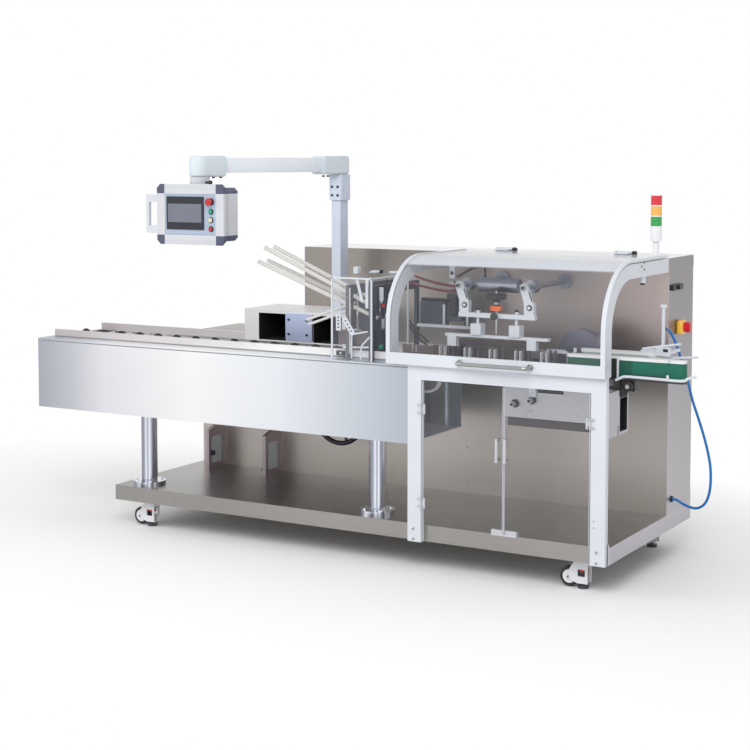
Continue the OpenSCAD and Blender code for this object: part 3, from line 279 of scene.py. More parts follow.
# Painted light: the front skin behind the clear hood is made brighter.
behind = combined(tree, to_range(tree, place_axis(tree, "X"), 0.0, 1.0, HOOD_SIDE, HOOD_SIDE + 0.1),
                  to_range(tree, place_axis(tree, "Z"), 0.0, 1.0, HOOD_FOOT, HOOD_FOOT + 0.06))
behind = combined(tree, behind,
                  to_range(tree, place_axis(tree, "Y"), 1.0, 0.0, FRONT_SKIN, FRONT_SKIN + MM))
tint(stainless, behind, 0.0, 1.0, [(0.0, AS_IS), (1.0, HOOD_PAINTED_LIGHT)])
PLINTH_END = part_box("plinth")[1][0]
plinth_steel = brushed_metal("plinth_stainless", card(157, 154, 151), ALONG, 0.30, 0.012)
# Painted reflection: the plinth's right end is made paler and cooler.
tint_along(plinth_steel, "X", PLINTH_END - SKIN, PLINTH_END - SKIN / 2, AS_IS, PLINTH_PAINTED_REFLECTION)
print("cabinet and plinth ready")

# %% [markdown]
# Turned and milled parts have an even grain; the bed, plates and gussets keep the
# lines of the belt. The press unit's closing wheel is darker than its body and is
# told apart by its height.

# %% Machined metals
aluminium = brushed_metal("machined_aluminium", card(228, 228, 230), EVEN, 0.38, 0.03, 0.04)
bright_steel = brushed_metal("machined_steel", card(202, 204, 208), EVEN, 0.28, 0.03, 0.04)
bed_steel = brushed_metal("bed_steel", card(112, 106, 108), ALONG, 0.34, 0.03, 0.08)
lilac_plate = brushed_metal("anodised_plate", card(172, 172, 177), UPRIGHT, 0.42, 0.03, 0.04)
blue_plate = brushed_metal("pusher_plate", card(182, 192, 220), UPRIGHT, 0.45, 0.03, 0.04)
press_grey = brushed_metal("press_body", card(160, 165, 176), EVEN, 0.34, 0.03, 0.05)
WHEEL_TOP = at(0, 0, 940).z
tint_along(press_grey, "Z", WHEEL_TOP, WHEEL_TOP + MM, (0.62, 0.57, 0.64), AS_IS)
handle_steel = brushed_metal("handle_steel", card(162, 165, 164), EVEN, 0.20, 0.01, 0.02, 0.0)
gusset_steel = brushed_metal("gusset_steel", card(170, 160, 164), UPRIGHT, 0.40, 0.03, 0.05)
print("machined metals ready")

# %% [markdown]
# Hard chrome on a round leg mirrors the whole room as upright bright and dark streaks. They are a painted
# reflection: a row of stops across each leg's width.

# %% Chrome legs
LEG_XS, LEG_Y, LEG_R = (126, 1435), 112, 40
ACROSS = Vector((0.83, 0.56, 0.0))
BLUER = 1.04
PAINTED_REFLECTION_STREAKS = [(0.0, 1.0), (0.04, 0.42), (0.16, 0.46), (0.24, 0.75), (0.32, 1.37), (0.43, 0.60), (0.52, 1.37),
           (0.62, 0.90), (0.71, 0.45), (0.80, 0.65), (0.88, 1.8), (0.96, 1.0), (1.0, 1.0)]
chrome = brushed_metal("hard_chrome", card(206, 210, 218), EVEN, 0.12, 0.01, 0.02, 0.0)
tree = chrome.node_tree
for x in LEG_XS:
    place = tree.nodes.new("ShaderNodeTexCoord")
    across = tree.nodes.new("ShaderNodeVectorMath")
    across.operation = "DOT_PRODUCT"
    across.inputs[1].default_value = ACROSS
    wire(tree, place.outputs["Object"], across.inputs[0])
    middle = ACROSS.dot(at(x, LEG_Y, 0))
    tint(chrome, across.outputs["Value"], middle - LEG_R * MM, middle + LEG_R * MM,
         [(stop, (level, level, level * BLUER if level != 1.0 else 1.0)) for stop, level in PAINTED_REFLECTION_STREAKS])
print("chrome ready")

# %% [markdown]
# The long front skirt is satin sheet. Its colour holds a painted reflection of the bright room in its
# middle and the darker sides towards its ends, in soft fields that run along the trough.

# %% Satin skirt
SKIRT_PAINTED_REFLECTION = [(0.0, card(168, 170, 180)), (0.1, card(192, 194, 202)), (0.2, card(222, 223, 227)),
               (0.45, card(240, 241, 242)), (0.68, card(228, 231, 236)), (1.0, card(180, 188, 199))]


def satin_skirt():
    """Bright satin sheet: a painted reflection as soft light and dark fields that run along the trough."""
    colour = card(220, 222, 226)
    material, tree, shader = start_finish("satin_stainless", colour, 1.0, 0.40, Anisotropic=0.4)
    low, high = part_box("infeed_skirts")
    across = to_range(tree, place_axis(tree, "X"), 0.0, 1.0, low[0], high[0])
    wire(tree, ramp_of(tree, across, SKIRT_PAINTED_REFLECTION), shader.inputs["Base Color"])
    lines = object_noise(tree, 650.0, ALONG, 2.0)
    wire(tree, to_range(tree, lines, 0.36, 0.46), shader.inputs["Roughness"])
    add_bump(tree, shader, lines, 0.04, 0.0001)
    return material


satin = satin_skirt()
print("skirt ready")

# %% [markdown]
# Paint and moulded plastic share one recipe: a slow noise that shifts the colour
# a little, a fine noise that gives the skin its orange peel or moulding grain,
# and a roughness that follows it. Only the numbers differ.

# %% Paints, plastics and rubber
def coated(name, colour, rough, peel=300.0, strength=0.05, vary=0.03, **sockets):
    """Painted metal, moulded plastic or rubber."""
    material, tree, shader = start_finish(name, colour, 0.0, rough, **sockets)
    cloud = object_noise(tree, 6.0, EVEN, 3.0)
    stops = [(0.35, shade(colour, 1 - vary)), (0.65, shade(colour, 1 + vary))]
    wire(tree, ramp_of(tree, cloud, stops), shader.inputs["Base Color"])
    skin = object_noise(tree, peel, EVEN, 2.0)
    wire(tree, to_range(tree, skin, rough - 0.05, rough + 0.05), shader.inputs["Roughness"])
    add_bump(tree, shader, skin, strength, 0.0003)
    return material


white_paint = coated("white_paint", card(208, 212, 219), 0.34, vary=0.02)
rod_paint = coated("rod_paint", card(206, 204, 200), 0.36, vary=0.02)
arm_paint = coated("arm_powder_coat", card(203, 212, 219), 0.42, 320.0, 0.06)
tube_paint = coated("arm_tube_paint", card(226, 231, 238), 0.38, 320.0, 0.06)
mast_paint = coated("mast_paint", card(196, 204, 218), 0.42, 320.0, 0.06)
profile_grey = coated("panel_profile", card(196, 198, 203), 0.34)
panel_face = coated("panel_face", card(158, 173, 193), 0.38)
handle_grey = coated("handle_grey", card(198, 201, 208), 0.35)
satin_plate = coated("satin_plate", card(226, 226, 227), 0.35)
rail_satin = coated("rail_satin", card(224, 222, 222), 0.35)
# Painted shade: the guide rails grow darker towards their left end.
tint_along(rail_satin, "X", at(-450, 0, 0).x, at(900, 0, 0).x, (0.62, 0.58, 0.58), AS_IS)
seam_and_shadow_grey = coated("seam_and_shadow_grey", card(132, 132, 136), 0.5)
zinc_lugs = coated("zinc_lugs", card(196, 196, 200), 0.40)
# Painted shade: the rear row of lugs is made much darker.
tint_along(zinc_lugs, "Y", at(0, 245, 0).y, at(0, 255, 0).y, AS_IS, (0.22, 0.20, 0.21))
slate_cap = coated("slate_cap", card(68, 74, 98), 0.45, 400.0, 0.10)
pale_plastic = coated("pale_plastic", card(232, 233, 236), 0.35)
black_plastic = coated("black_plastic", card(24, 24, 26), 0.42, 400.0, 0.08, 0.12)
# Painted shade: a near-black for tunnel insides, the drive box's open ends and screw sockets.
painted_shade_black = coated("painted_shade_black", card(16, 15, 17), 0.80, 200.0, 0.05, 0.10)
dark_steel = coated("dark_machine_steel", card(62, 64, 74), 0.40, 250.0, 0.06, 0.15)
slate_steel = coated("slate_steel", card(70, 74, 90), 0.42, 250.0, 0.06, 0.15)
brown_rail = coated("brown_rail", card(92, 80, 80), 0.45, 250.0, 0.06, 0.12)
bucket_black = coated("bucket_moulding", card(36, 35, 38), 0.45, 300.0, 0.08, 0.15)
wheel_dark = coated("hand_wheel_moulding", card(38, 40, 50), 0.32, 300.0, 0.05, 0.12)
yellow_plastic = coated("isolator_yellow", card(245, 190, 70), 0.30)
red_plastic = coated("signal_red", card(205, 28, 40), 0.28)
green_plastic = coated("button_green", card(20, 150, 120), 0.28)
cream_plastic = coated("button_cream", card(208, 203, 166), 0.30)
button_red = coated("button_red", card(178, 40, 44), 0.30)
orange_plastic = coated("orange_nut", card(236, 108, 40), 0.32)
wheel_rubber = coated("wheel_rubber", card(38, 38, 40), 0.50, 500.0, 0.12, 0.12)
hose_blue = coated("hose_blue", card(12, 110, 186), 0.30, 500.0, 0.03, 0.05)
tube_red = coated("tube_red", card(120, 40, 58), 0.35, 500.0, 0.03, 0.05)
fork_paint = coated("caster_fork_paint", card(226, 228, 232), 0.35)
screen_bezel = coated("screen_bezel", card(30, 31, 40), 0.22, 500.0, 0.02, 0.08)
display_grey = coated("display_grey", card(108, 111, 124), 0.18, 500.0, 0.01, 0.03)
dark_strip = coated("dark_strip", card(60, 56, 60), 0.45, 250.0, 0.06, 0.12)
print("paints ready")

# %% [markdown]
# Some parts of the frame hold two pieces of different colour, such as the green
# front belt and the pale rear one. One finish parts them at a place on an axis.

# %% Finishes in two colours
def two_tone(name, axis, border, low, high, rough):
    """Two paints on parts of one piece, parted at a place along an axis."""
    material, tree, shader = start_finish(name, low, 0.0, rough)
    side = to_range(tree, place_axis(tree, axis), 0.0, 1.0, border - 0.0005, border + 0.0005)
    wire(tree, ramp_of(tree, side, [(0.4, low), (0.6, high)]), shader.inputs["Base Color"])
    add_bump(tree, shader, object_noise(tree, 500.0, EVEN, 2.0), 0.08, 0.0003)
    return material


portal_paint = two_tone("portal_paint", "X", at(1360, 0, 0).x, card(92, 90, 98), card(66, 70, 84), 0.40)
belt_pair = two_tone("belt_pair", "Y", at(0, 250, 0).y, card(6, 98, 78), card(196, 198, 200), 0.65)
# Painted shade: the belts are darker towards their left end.
tint_along(belt_pair, "X", at(2640, 0, 0).x, at(2654, 0, 0).x, (0.55, 0.62, 0.62), AS_IS)
RAIL_SPLIT = at(0, 0, 774).z
discharge_rails = two_tone("discharge_rails", "Z", RAIL_SPLIT, card(70, 66, 66), card(226, 226, 228), 0.40)
print("two-colour finishes ready")

# %% [markdown]
# The hood and the doors are clear acrylic. A sheet that thin bends light very
# little, so it is drawn as a see-through skin with a gloss coat: what lies behind
# stays visible, and its faint tint catches the light as acrylic does.

# %% Clear sheet and lamp lenses
def clear_sheet(name, colour, alpha, rough=0.04, bright_top=None):
    """Thin acrylic: mostly see-through; a painted reflection makes a flat top read paler."""
    material, tree, shader = start_finish(name, colour, 0.0, rough, Specular_IOR_Level=0.5)
    haze = to_range(tree, object_noise(tree, 0.9, EVEN, 1.0), alpha * 0.85, alpha * 1.15)
    if bright_top:
        low, high, more = bright_top
        rise = to_range(tree, place_axis(tree, "Z"), 0.0, more, low, high)
        haze = combined(tree, haze, rise, "ADD")
    wire(tree, haze, shader.inputs["Alpha"])
    return material


HOOD_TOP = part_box("hood_sheet")[1][2]
# Painted reflection: the hood grows paler and less clear towards its top.
HOOD_PAINTED_SHEEN = (HOOD_TOP - 0.042, HOOD_TOP - 0.034, 0.62)
hood_acrylic = clear_sheet("hood_acrylic", card(222, 226, 234), 0.03, bright_top=HOOD_PAINTED_SHEEN)
acrylic = clear_sheet("clear_acrylic", card(226, 231, 240), 0.05)
door_acrylic = clear_sheet("door_acrylic", card(214, 216, 220), 0.03)


def lamp_lens(name, colour):
    """A ribbed lens: moulded rings show as a fine bump."""
    material, tree, shader = start_finish(name, colour, 0.0, 0.22, Coat_Weight=0.3)
    place = tree.nodes.new("ShaderNodeTexCoord")
    rings = tree.nodes.new("ShaderNodeTexWave")
    rings.bands_direction = "Z"
    rings.inputs["Scale"].default_value = 95.0
    wire(tree, place.outputs["Object"], rings.inputs["Vector"])
    stops = [(0.1, shade(colour, 0.85)), (0.9, shade(colour, 1.1))]
    wire(tree, ramp_of(tree, rings.outputs["Fac"], stops), shader.inputs["Base Color"])
    add_bump(tree, shader, rings.outputs["Fac"], 0.2, 0.0006)
    return material


lens_red = lamp_lens("red_lens", card(215, 40, 54))
lens_amber = lamp_lens("amber_lens", card(240, 180, 90))
lens_green = lamp_lens("green_lens", card(45, 160, 75))
print("lenses ready")

# %% [markdown]
# Each part of the frame now gets its finish. The list reads like a paint shop's
# order sheet: one line per finish, with the parts that take it.

# %% Finishes of the frame's parts
ORDER = [
    (stainless, ["cabinet"]),
    (plinth_steel, ["plinth"]),
    (satin, ["infeed_skirts"]),
    (aluminium, ["infeed_pan"]),
    (discharge_rails, ["discharge_frame"]),
    (gusset_steel, ["support_gussets"]),
    (satin_plate, ["table_plate", "pusher_housing"]),
    (rail_satin, ["guide_rails"]),
    (zinc_lugs, ["carton_chain"]),
    (bed_steel, ["machine_bed"]),
    (press_grey, ["press_carrier"]),
    (lilac_plate, ["drive_box"]),
    (bright_steel, ["left_door_fittings", "right_door_fittings", "door_hardware", "hood_hinges"]),
    (portal_paint, ["magazine_frame"]),
    (dark_steel, ["caster_plates"]),
    (blue_plate, ["pusher_plate"]),
    (chrome, ["infeed_legs"]),
    (handle_steel, ["hood_handle"]),
    (white_paint, ["guard_frame", "side_arches", "hood_frame", "press_bar", "adjuster_post"]),
    (rod_paint, ["magazine_rods"]),
    (hood_acrylic, ["hood_sheet"]),
    (acrylic, ["magazine_guard"]),
    (door_acrylic, ["left_door", "right_door"]),
    (satin_plate, ["bucket_chain"]),
    (wheel_dark, ["hand_wheel"]),
    (belt_pair, ["discharge_belts"]),
    (yellow_plastic, ["isolator_base"]),
    (red_plastic, ["isolator_knob", "panel_buttons"]),
    (black_plastic, ["cabinet_latch", "hose_fittings"]),
    (pale_plastic, ["tower_body"]),
    (handle_grey, ["panel_handle"]),
    (lens_green, ["green_lamp"]),
    (lens_amber, ["amber_lamp"]),
    (lens_red, ["red_lamp"]),
    (mast_paint, ["arm_column"]),
    (arm_paint, ["panel_arm"]),
    (profile_grey, ["panel_case"]),
    (slate_cap, ["panel_corners"]),
    (screen_bezel, ["panel_screen"]),
    (hose_blue, ["air_hose"]),
    (fork_paint, [f"caster_fork_{k}" for k in range(1, 5)]),
    (wheel_rubber, [f"caster_wheel_{k}" for k in range(1, 5)]),
]
for finish, names in ORDER:
    for name in names:
        slots = nodes[name].data.materials
        slots.clear()
        slots.append(finish)
print("finished parts:", sum(len(names) for _, names in ORDER), "of", len(nodes))

# %% [markdown]
# Small fittings are turned, sawn and bent from bar and sheet, so they are drawn
# the same way: boxes with broken edges, rods with chamfers, rings and swept
# tubes. A piece gathers such solids in layout millimetres and becomes one mesh.

# %% A gatherer of small solids
SHARP_ANGLE = math.radians(32)


class Piece:
    """Gathers solids in layout millimetres; done() makes one mesh that rides on a body."""

    def __init__(self, name, body, *finishes):
        self.name, self.body, self.finishes = name, body, finishes
        self.form = bmesh.new()
        self.ink = self.form.faces.layers.int.new("ink")

    def paint(self, finish):
        """Gives the newest faces their finish number."""
        for face in self.form.faces:
            if face[self.ink] == 0:
                face[self.ink] = finish + 1

    def soften(self, edges, width, steps=1):
        """Breaks edges by a small bevel."""
        if width > 0:
            bmesh.ops.bevel(self.form, geom=edges, offset=width, segments=steps,
                            affect="EDGES", profile=0.5)

    def box(self, low, high, finish=0, bevel=1.0, turn=None, steps=1):
        """A block between two corners, turned about its middle."""
        low, high = Vector(low), Vector(high)
        size = Matrix.Diagonal((*(high - low), 1))
        place = Matrix.Translation((low + high) / 2) @ (turn or Matrix()) @ size
        corners = bmesh.ops.create_cube(self.form, size=1.0, matrix=place)["verts"]
        self.soften(list({e for v in corners for e in v.link_edges}), bevel, steps)
        self.paint(finish)

    def rod(self, start, end, radius, finish=0, sides=24, chamfer=0.8, tip=None):
        """A round bar, a cone where the tip's radius differs."""
        start, end = Vector(start), Vector(end)
        along = end - start
        place = Matrix.Translation((start + end) / 2) @ along.to_track_quat("Z", "Y").to_matrix().to_4x4()
        corners = bmesh.ops.create_cone(
            self.form, cap_ends=True, segments=sides, radius1=radius,
            radius2=radius if tip is None else tip, depth=along.length, matrix=place)["verts"]
        rims = [e for e in {e for v in corners for e in v.link_edges}
                if any(len(f.verts) == sides for f in e.link_faces)]
        self.soften(rims, min(chamfer, radius * 0.3, along.length * 0.3))
        self.paint(finish)

    def ball(self, centre, radius, finish=0, squash=1.0):
        """A ball, or a dome where it is squashed."""
        place = Matrix.Translation(centre) @ Matrix.Diagonal((1, 1, squash, 1))
        bmesh.ops.create_uvsphere(self.form, u_segments=24, v_segments=14, radius=radius, matrix=place)
        self.paint(finish)

    def loft(self, loops, closed, finish):
        """Faces between rows of points; the ends are capped unless it closes on itself."""
        rows = [[self.form.verts.new(p) for p in loop] for loop in loops]
        count = len(rows[0])
        for i in range(len(rows) if closed else len(rows) - 1):
            a, b = rows[i], rows[(i + 1) % len(rows)]
            for j in range(count):
                self.form.faces.new((a[j], a[(j + 1) % count], b[(j + 1) % count], b[j]))
        if not closed:
            self.form.faces.new(rows[0])
            self.form.faces.new(rows[-1])
        self.paint(finish)

    def ring(self, centre, axis, radius, thick, finish=0, steps=48, sides=10):
        """A round ring about an axis."""
        turn = Vector(axis).to_track_quat("Z", "Y")
        loops = []
        for i in range(steps):
            around = 2 * math.pi * i / steps
            loops.append([Vector(centre) + turn @ Vector((
                (radius + thick * math.cos(2 * math.pi * j / sides)) * math.cos(around),
                (radius + thick * math.cos(2 * math.pi * j / sides)) * math.sin(around),
                thick * math.sin(2 * math.pi * j / sides))) for j in range(sides)])
        self.loft(loops, True, finish)

    def sweep(self, line, radius, finish=0, sides=12):
        """A tube along a line of points."""
        line = [Vector(p) for p in line]
        across = (line[1] - line[0]).orthogonal().normalized()
        loops = []
        for i, p in enumerate(line):
            ahead = (line[min(i + 1, len(line) - 1)] - line[max(i - 1, 0)]).normalized()
            across = (across - ahead * across.dot(ahead)).normalized()
            side = ahead.cross(across)
            loops.append([p + radius * (across * math.cos(2 * math.pi * j / sides)
                                        + side * math.sin(2 * math.pi * j / sides)) for j in range(sides)])
        self.loft(loops, False, finish)

    def slab(self, outline, low, high, finish=0, bevel=1.0, steps=1, place=None):
        """A plate cut to an outline in X and Y, between two heights."""
        place = place or Matrix()
        before = set(self.form.verts)
        self.loft([[place @ Vector((x, y, z)) for x, y in outline] for z in (low, high)], False, finish)
        made = [v for v in self.form.verts if v not in before]
        rims = [e for e in {e for v in made for e in v.link_edges}
                if any(len(f.verts) == len(outline) for f in e.link_faces)]
        for face in {f for v in made for f in v.link_faces}:
            face[self.ink] = 0
        self.soften(rims, bevel, steps)
        self.paint(finish)

    def done(self, slot=None, replaces=()):
        """Makes the mesh, links it and lets it ride on its body."""
        self.form.transform(Matrix.Translation(CORNER) @ Matrix.Scale(MM, 4))
        bmesh.ops.recalc_face_normals(self.form, faces=self.form.faces[:])
        for face in self.form.faces:
            face.material_index = face[self.ink] - 1
            face.smooth = True
        self.form.faces.layers.int.remove(self.ink)
        mesh = bpy.data.meshes.new(self.name)
        self.form.to_mesh(mesh)
        self.form.free()
        mesh.set_sharp_from_angle(angle=SHARP_ANGLE)
        for finish in self.finishes:
            mesh.materials.append(finish)
        piece = bpy.data.objects.new(self.name, mesh)
        bpy.context.scene.collection.objects.link(piece)
        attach(piece, self.body)
        if replaces:
            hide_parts(*replaces)
        print(self.name, "faces:", len(mesh.polygons))
        return piece


def smooth_route(route, steps=8):
    """Points on the smooth line through a route."""
    marks = [Vector(p) for p in route]
    line = []
    for i in range(len(marks) - 1):
        a, b = marks[max(i - 1, 0)], marks[i]
        c, d = marks[i + 1], marks[min(i + 2, len(marks) - 1)]
        for k in range(steps):
            t = k / steps
            line.append(0.5 * (2 * b + (c - a) * t + (2 * a - 5 * b + 4 * c - d) * t ** 2
                               + (3 * b - a - 3 * c + d) * t ** 3))
    line.append(marks[-1])
    return line


def turned(axis, degrees):
    """A rotation about one axis, for a block set at an angle."""
    return Matrix.Rotation(math.radians(degrees), 4, axis)


# %% [markdown]
# Screws and chain links repeat by the hundred. A fitter drops the same screw into
# every hole, and a Geometry Nodes group does just that: it reads points that
# carry their own turn, sets one unit on each, and makes the result real mesh.

# %% A group that repeats one unit on points
def repeat_group(name, sizes, make_unit):
    """A node group with named sizes that sets a unit on every point."""
    tree = bpy.data.node_groups.new(name, "GeometryNodeTree")
    tree.interface.new_socket("Points", in_out="INPUT", socket_type="NodeSocketGeometry")
    for size in sizes:
        tree.interface.new_socket(size, in_out="INPUT", socket_type="NodeSocketFloat")
    for finish in ("Metal", "Dark"):
        tree.interface.new_socket(finish, in_out="INPUT", socket_type="NodeSocketMaterial")
    tree.interface.new_socket("Mesh", in_out="OUTPUT", socket_type="NodeSocketGeometry")
    given = tree.nodes.new("NodeGroupInput")
    result = tree.nodes.new("NodeGroupOutput")
    turn = tree.nodes.new("GeometryNodeInputNamedAttribute")
    turn.data_type = "FLOAT_VECTOR"
    turn.inputs["Name"].default_value = "turn"
    rotation = tree.nodes.new("FunctionNodeEulerToRotation")
    spread = tree.nodes.new("GeometryNodeInstanceOnPoints")
    real = tree.nodes.new("GeometryNodeRealizeInstances")
    metal = tree.nodes.new("GeometryNodeSetMaterial")
    dark = tree.nodes.new("GeometryNodeSetMaterial")
    marked = tree.nodes.new("GeometryNodeInputNamedAttribute")
    marked.data_type = "BOOLEAN"
    marked.inputs["Name"].default_value = "dark"
    wire(tree, turn.outputs["Attribute"], rotation.inputs["Euler"])
    wire(tree, given.outputs["Points"], spread.inputs["Points"])
    wire(tree, rotation.outputs["Rotation"], spread.inputs["Rotation"])
    wire(tree, make_unit(tree, given), spread.inputs["Instance"])
    wire(tree, spread.outputs["Instances"], real.inputs["Geometry"])
    wire(tree, real.outputs["Geometry"], metal.inputs["Geometry"])
    wire(tree, given.outputs["Metal"], metal.inputs["Material"])
    wire(tree, metal.outputs["Geometry"], dark.inputs["Geometry"])
    wire(tree, marked.outputs["Attribute"], dark.inputs["Selection"])
    wire(tree, given.outputs["Dark"], dark.inputs["Material"])
    wire(tree, dark.outputs["Geometry"], result.inputs["Mesh"])
    return tree


def times(tree, socket, factor):
    """A size multiplied by a number."""
    node = tree.nodes.new("ShaderNodeMath")
    node.operation = "MULTIPLY"
    node.inputs[1].default_value = factor
    wire(tree, socket, node.inputs[0])
    return node.outputs[0]


def mark_dark(tree, mesh):
    """Marks faces that take the dark finish."""
    store = tree.nodes.new("GeometryNodeStoreNamedAttribute")
    store.data_type = "BOOLEAN"
    store.domain = "FACE"
    store.inputs["Name"].default_value = "dark"
    store.inputs["Value"].default_value = True
    wire(tree, mesh, store.inputs["Geometry"])
    return store.outputs["Geometry"]


def lifted(tree, mesh, height):
    """Moves a mesh up by a size."""
    offset = tree.nodes.new("ShaderNodeCombineXYZ")
    wire(tree, height, offset.inputs["Z"])
    move = tree.nodes.new("GeometryNodeTransform")
    wire(tree, mesh, move.inputs["Geometry"])
    wire(tree, offset.outputs["Vector"], move.inputs["Translation"])
    return move.outputs["Geometry"]


def screw_unit(tree, given):
    """A low cone head with a dark hexagon socket."""
    head = tree.nodes.new("GeometryNodeMeshCone")
    head.inputs["Vertices"].default_value = 20
    wire(tree, given.outputs["Radius"], head.inputs["Radius Bottom"])
    wire(tree, times(tree, given.outputs["Radius"], 0.82), head.inputs["Radius Top"])
    wire(tree, given.outputs["Height"], head.inputs["Depth"])
    socket = tree.nodes.new("GeometryNodeMeshCylinder")
    socket.inputs["Vertices"].default_value = 6
    wire(tree, times(tree, given.outputs["Radius"], 0.45), socket.inputs["Radius"])
    wire(tree, times(tree, given.outputs["Height"], 0.4), socket.inputs["Depth"])
    both = tree.nodes.new("GeometryNodeJoinGeometry")
    wire(tree, head.outputs["Mesh"], both.inputs["Geometry"])
    top = lifted(tree, socket.outputs["Mesh"], times(tree, given.outputs["Height"], 0.84))
    wire(tree, mark_dark(tree, top), both.inputs["Geometry"])
    return both.outputs["Geometry"]


def link_unit(tree, given):
    """One chain link: two side plates and a dark roller between them."""
    both = tree.nodes.new("GeometryNodeJoinGeometry")
    for side in (-1, 1):
        plate = tree.nodes.new("GeometryNodeMeshCube")
        size = tree.nodes.new("ShaderNodeCombineXYZ")
        wire(tree, times(tree, given.outputs["Pitch"], 0.92), size.inputs["X"])
        wire(tree, times(tree, given.outputs["Width"], 0.14), size.inputs["Y"])
        wire(tree, times(tree, given.outputs["Width"], 0.40), size.inputs["Z"])
        wire(tree, size.outputs["Vector"], plate.inputs["Size"])
        offset = tree.nodes.new("ShaderNodeCombineXYZ")
        wire(tree, times(tree, given.outputs["Width"], 0.43 * side), offset.inputs["Y"])
        move = tree.nodes.new("GeometryNodeTransform")
        wire(tree, plate.outputs["Mesh"], move.inputs["Geometry"])
        wire(tree, offset.outputs["Vector"], move.inputs["Translation"])
        wire(tree, move.outputs["Geometry"], both.inputs["Geometry"])
    roller = tree.nodes.new("GeometryNodeMeshCylinder")
    roller.inputs["Vertices"].default_value = 14
    wire(tree, times(tree, given.outputs["Width"], 0.18), roller.inputs["Radius"])
    wire(tree, times(tree, given.outputs["Width"], 0.70), roller.inputs["Depth"])
    lay = tree.nodes.new("GeometryNodeTransform")
    lay.inputs["Rotation"].default_value = (math.pi / 2, 0, 0)
    wire(tree, roller.outputs["Mesh"], lay.inputs["Geometry"])
    wire(tree, mark_dark(tree, lay.outputs["Geometry"]), both.inputs["Geometry"])
    return both.outputs["Geometry"]


SCREWS = repeat_group("screw_heads", ("Radius", "Height"), screw_unit)
LINKS = repeat_group("chain_links", ("Pitch", "Width"), link_unit)


def repeat(name, body, group, places, turns, sizes, metal, dark):
    """Sets a group's unit on places in layout millimetres; one plain mesh per body."""
    seeds = bpy.data.meshes.new(name + "_points")
    seeds.from_pydata([at(*p) for p in places], [], [])
    own_turn = seeds.attributes.new("turn", "FLOAT_VECTOR", "POINT")
    for value, turn in zip(own_turn.data, turns):
        value.vector = turn
    carrier = bpy.data.objects.new(name + "_points", seeds)
    bpy.context.scene.collection.objects.link(carrier)
    maker = carrier.modifiers.new("repeat", "NODES")
    maker.node_group = group
    chosen = {**sizes, "Metal": metal, "Dark": dark}
    for item in group.interface.items_tree:
        if item.in_out == "INPUT" and item.name in chosen:
            maker[item.identifier] = chosen[item.name]
    ready = carrier.evaluated_get(bpy.context.evaluated_depsgraph_get())
    mesh = bpy.data.meshes.new_from_object(ready)
    carrier.modifiers.remove(maker)
    bpy.data.objects.remove(carrier, do_unlink=True)
    mesh.name = name
    piece = bpy.data.objects.new(name, mesh)
    bpy.context.scene.collection.objects.link(piece)
    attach(piece, body)
    print(name, "units:", len(places), "faces:", len(mesh.polygons))
    return piece


FRONT, BACK, UP, RIGHT = (0, -1, 0), (0, 1, 0), (0, 0, 1), (1, 0, 0)


def screws(name, body, radius, height, rows, metal, dark=None):
    """Screw heads: each row is an aim and the places that share it."""
    places, turns = [], []
    for aim, row in rows:
        turn = Vector(aim).to_track_quat("Z", "Y").to_euler()
        places += row
        turns += [turn] * len(row)
    sizes = {"Radius": radius * MM, "Height": height * MM}
    return repeat(name, body, SCREWS, places, turns, sizes, metal, dark or painted_shade_black)


# %% [markdown]
# Now the screws. Sheet panels of the cabinet's back are held at their corners,
# legs stand on four-hole flanges, and posts, hinges and plates carry theirs in
# pairs.

# %% Screws of the fixed machine
PANEL_EDGES = (667, 1150, 1633, 2116, 2600)
PANEL_INSET = 28
back_row = [(x, 1032, z) for a, b in zip(PANEL_EDGES, PANEL_EDGES[1:])
            for x in (a + PANEL_INSET, b - PANEL_INSET) for z in (110, 420, 730, 1040, 1205)]
FLANGE_BOLTS = 62
leg_row = [(x + FLANGE_BOLTS * math.cos(math.radians(t)),
            LEG_Y + FLANGE_BOLTS * math.sin(math.radians(t)), 91)
           for x in LEG_XS for t in (45, 135, 225, 315)]
post_row = [(x, -30, z) for x in (1698, 2560) for z in (13, 58)]
wall_row = [(1592.6, 702, 293), (1592.6, 702, 122)]
drive_row = [(2196, 100, 601), (2417, 100, 599), (2096, 100, 704), (2560, 100, 704)]
screws("machine_screws", "machine", 7, 5, [
    (BACK, back_row), (UP, leg_row), (FRONT, post_row + wall_row)], bright_steel)
table_row = [(x, y, 785) for x in (84, 250, 420, 1240, 1500) for y in (486, 683)]
bed_row = [(x, y, 720) for x in (1790, 1990, 2190, 2390) for y in (136, 660)]
collar_row = [(x, 490, z) for x in (961, 993) for z in (1547, 1506)]
pusher_row = [(x, 390, z) for x in (772, 876) for z in (898, 827)]
screws("small_screws", "machine", 5.5, 4, [(UP, table_row + bed_row), (FRONT, drive_row)], bright_steel)
screws("black_screws", "machine", 6.5, 5, [(FRONT, pusher_row + collar_row)], black_plastic)

HINGE_HIGH = 592
hinge_row = [(2541, -33, HINGE_HIGH + lift) for lift in (-17, 17)]
leaf_row = [(2515, -33, HINGE_HIGH + lift) for lift in (-14, 14)]
screws("hinge_screws", "machine", 3.5, 2, [(FRONT, hinge_row)], bright_steel)
screws("leaf_screws", "right_leaf", 3.5, 2, [(FRONT, leaf_row)], bright_steel)
ARCH_FACE = 2597
arch_row = [(ARCH_FACE, y, z) for y, z in ((391, 1237), (391, 1207), (360, 1222))]
screws("arch_screws", "machine", 4.5, 2.5, [(RIGHT, arch_row)], dark_steel)
screws("catch_screws", "machine", 4, 2, [(FRONT, [(2547, -30, 186), (2547, -30, 159)])], bright_steel)

# %% [markdown]
# The carton chains run as two narrow loops of roller chain. Each link follows
# the loop: straight along the top and bottom, round the sprockets at the ends.

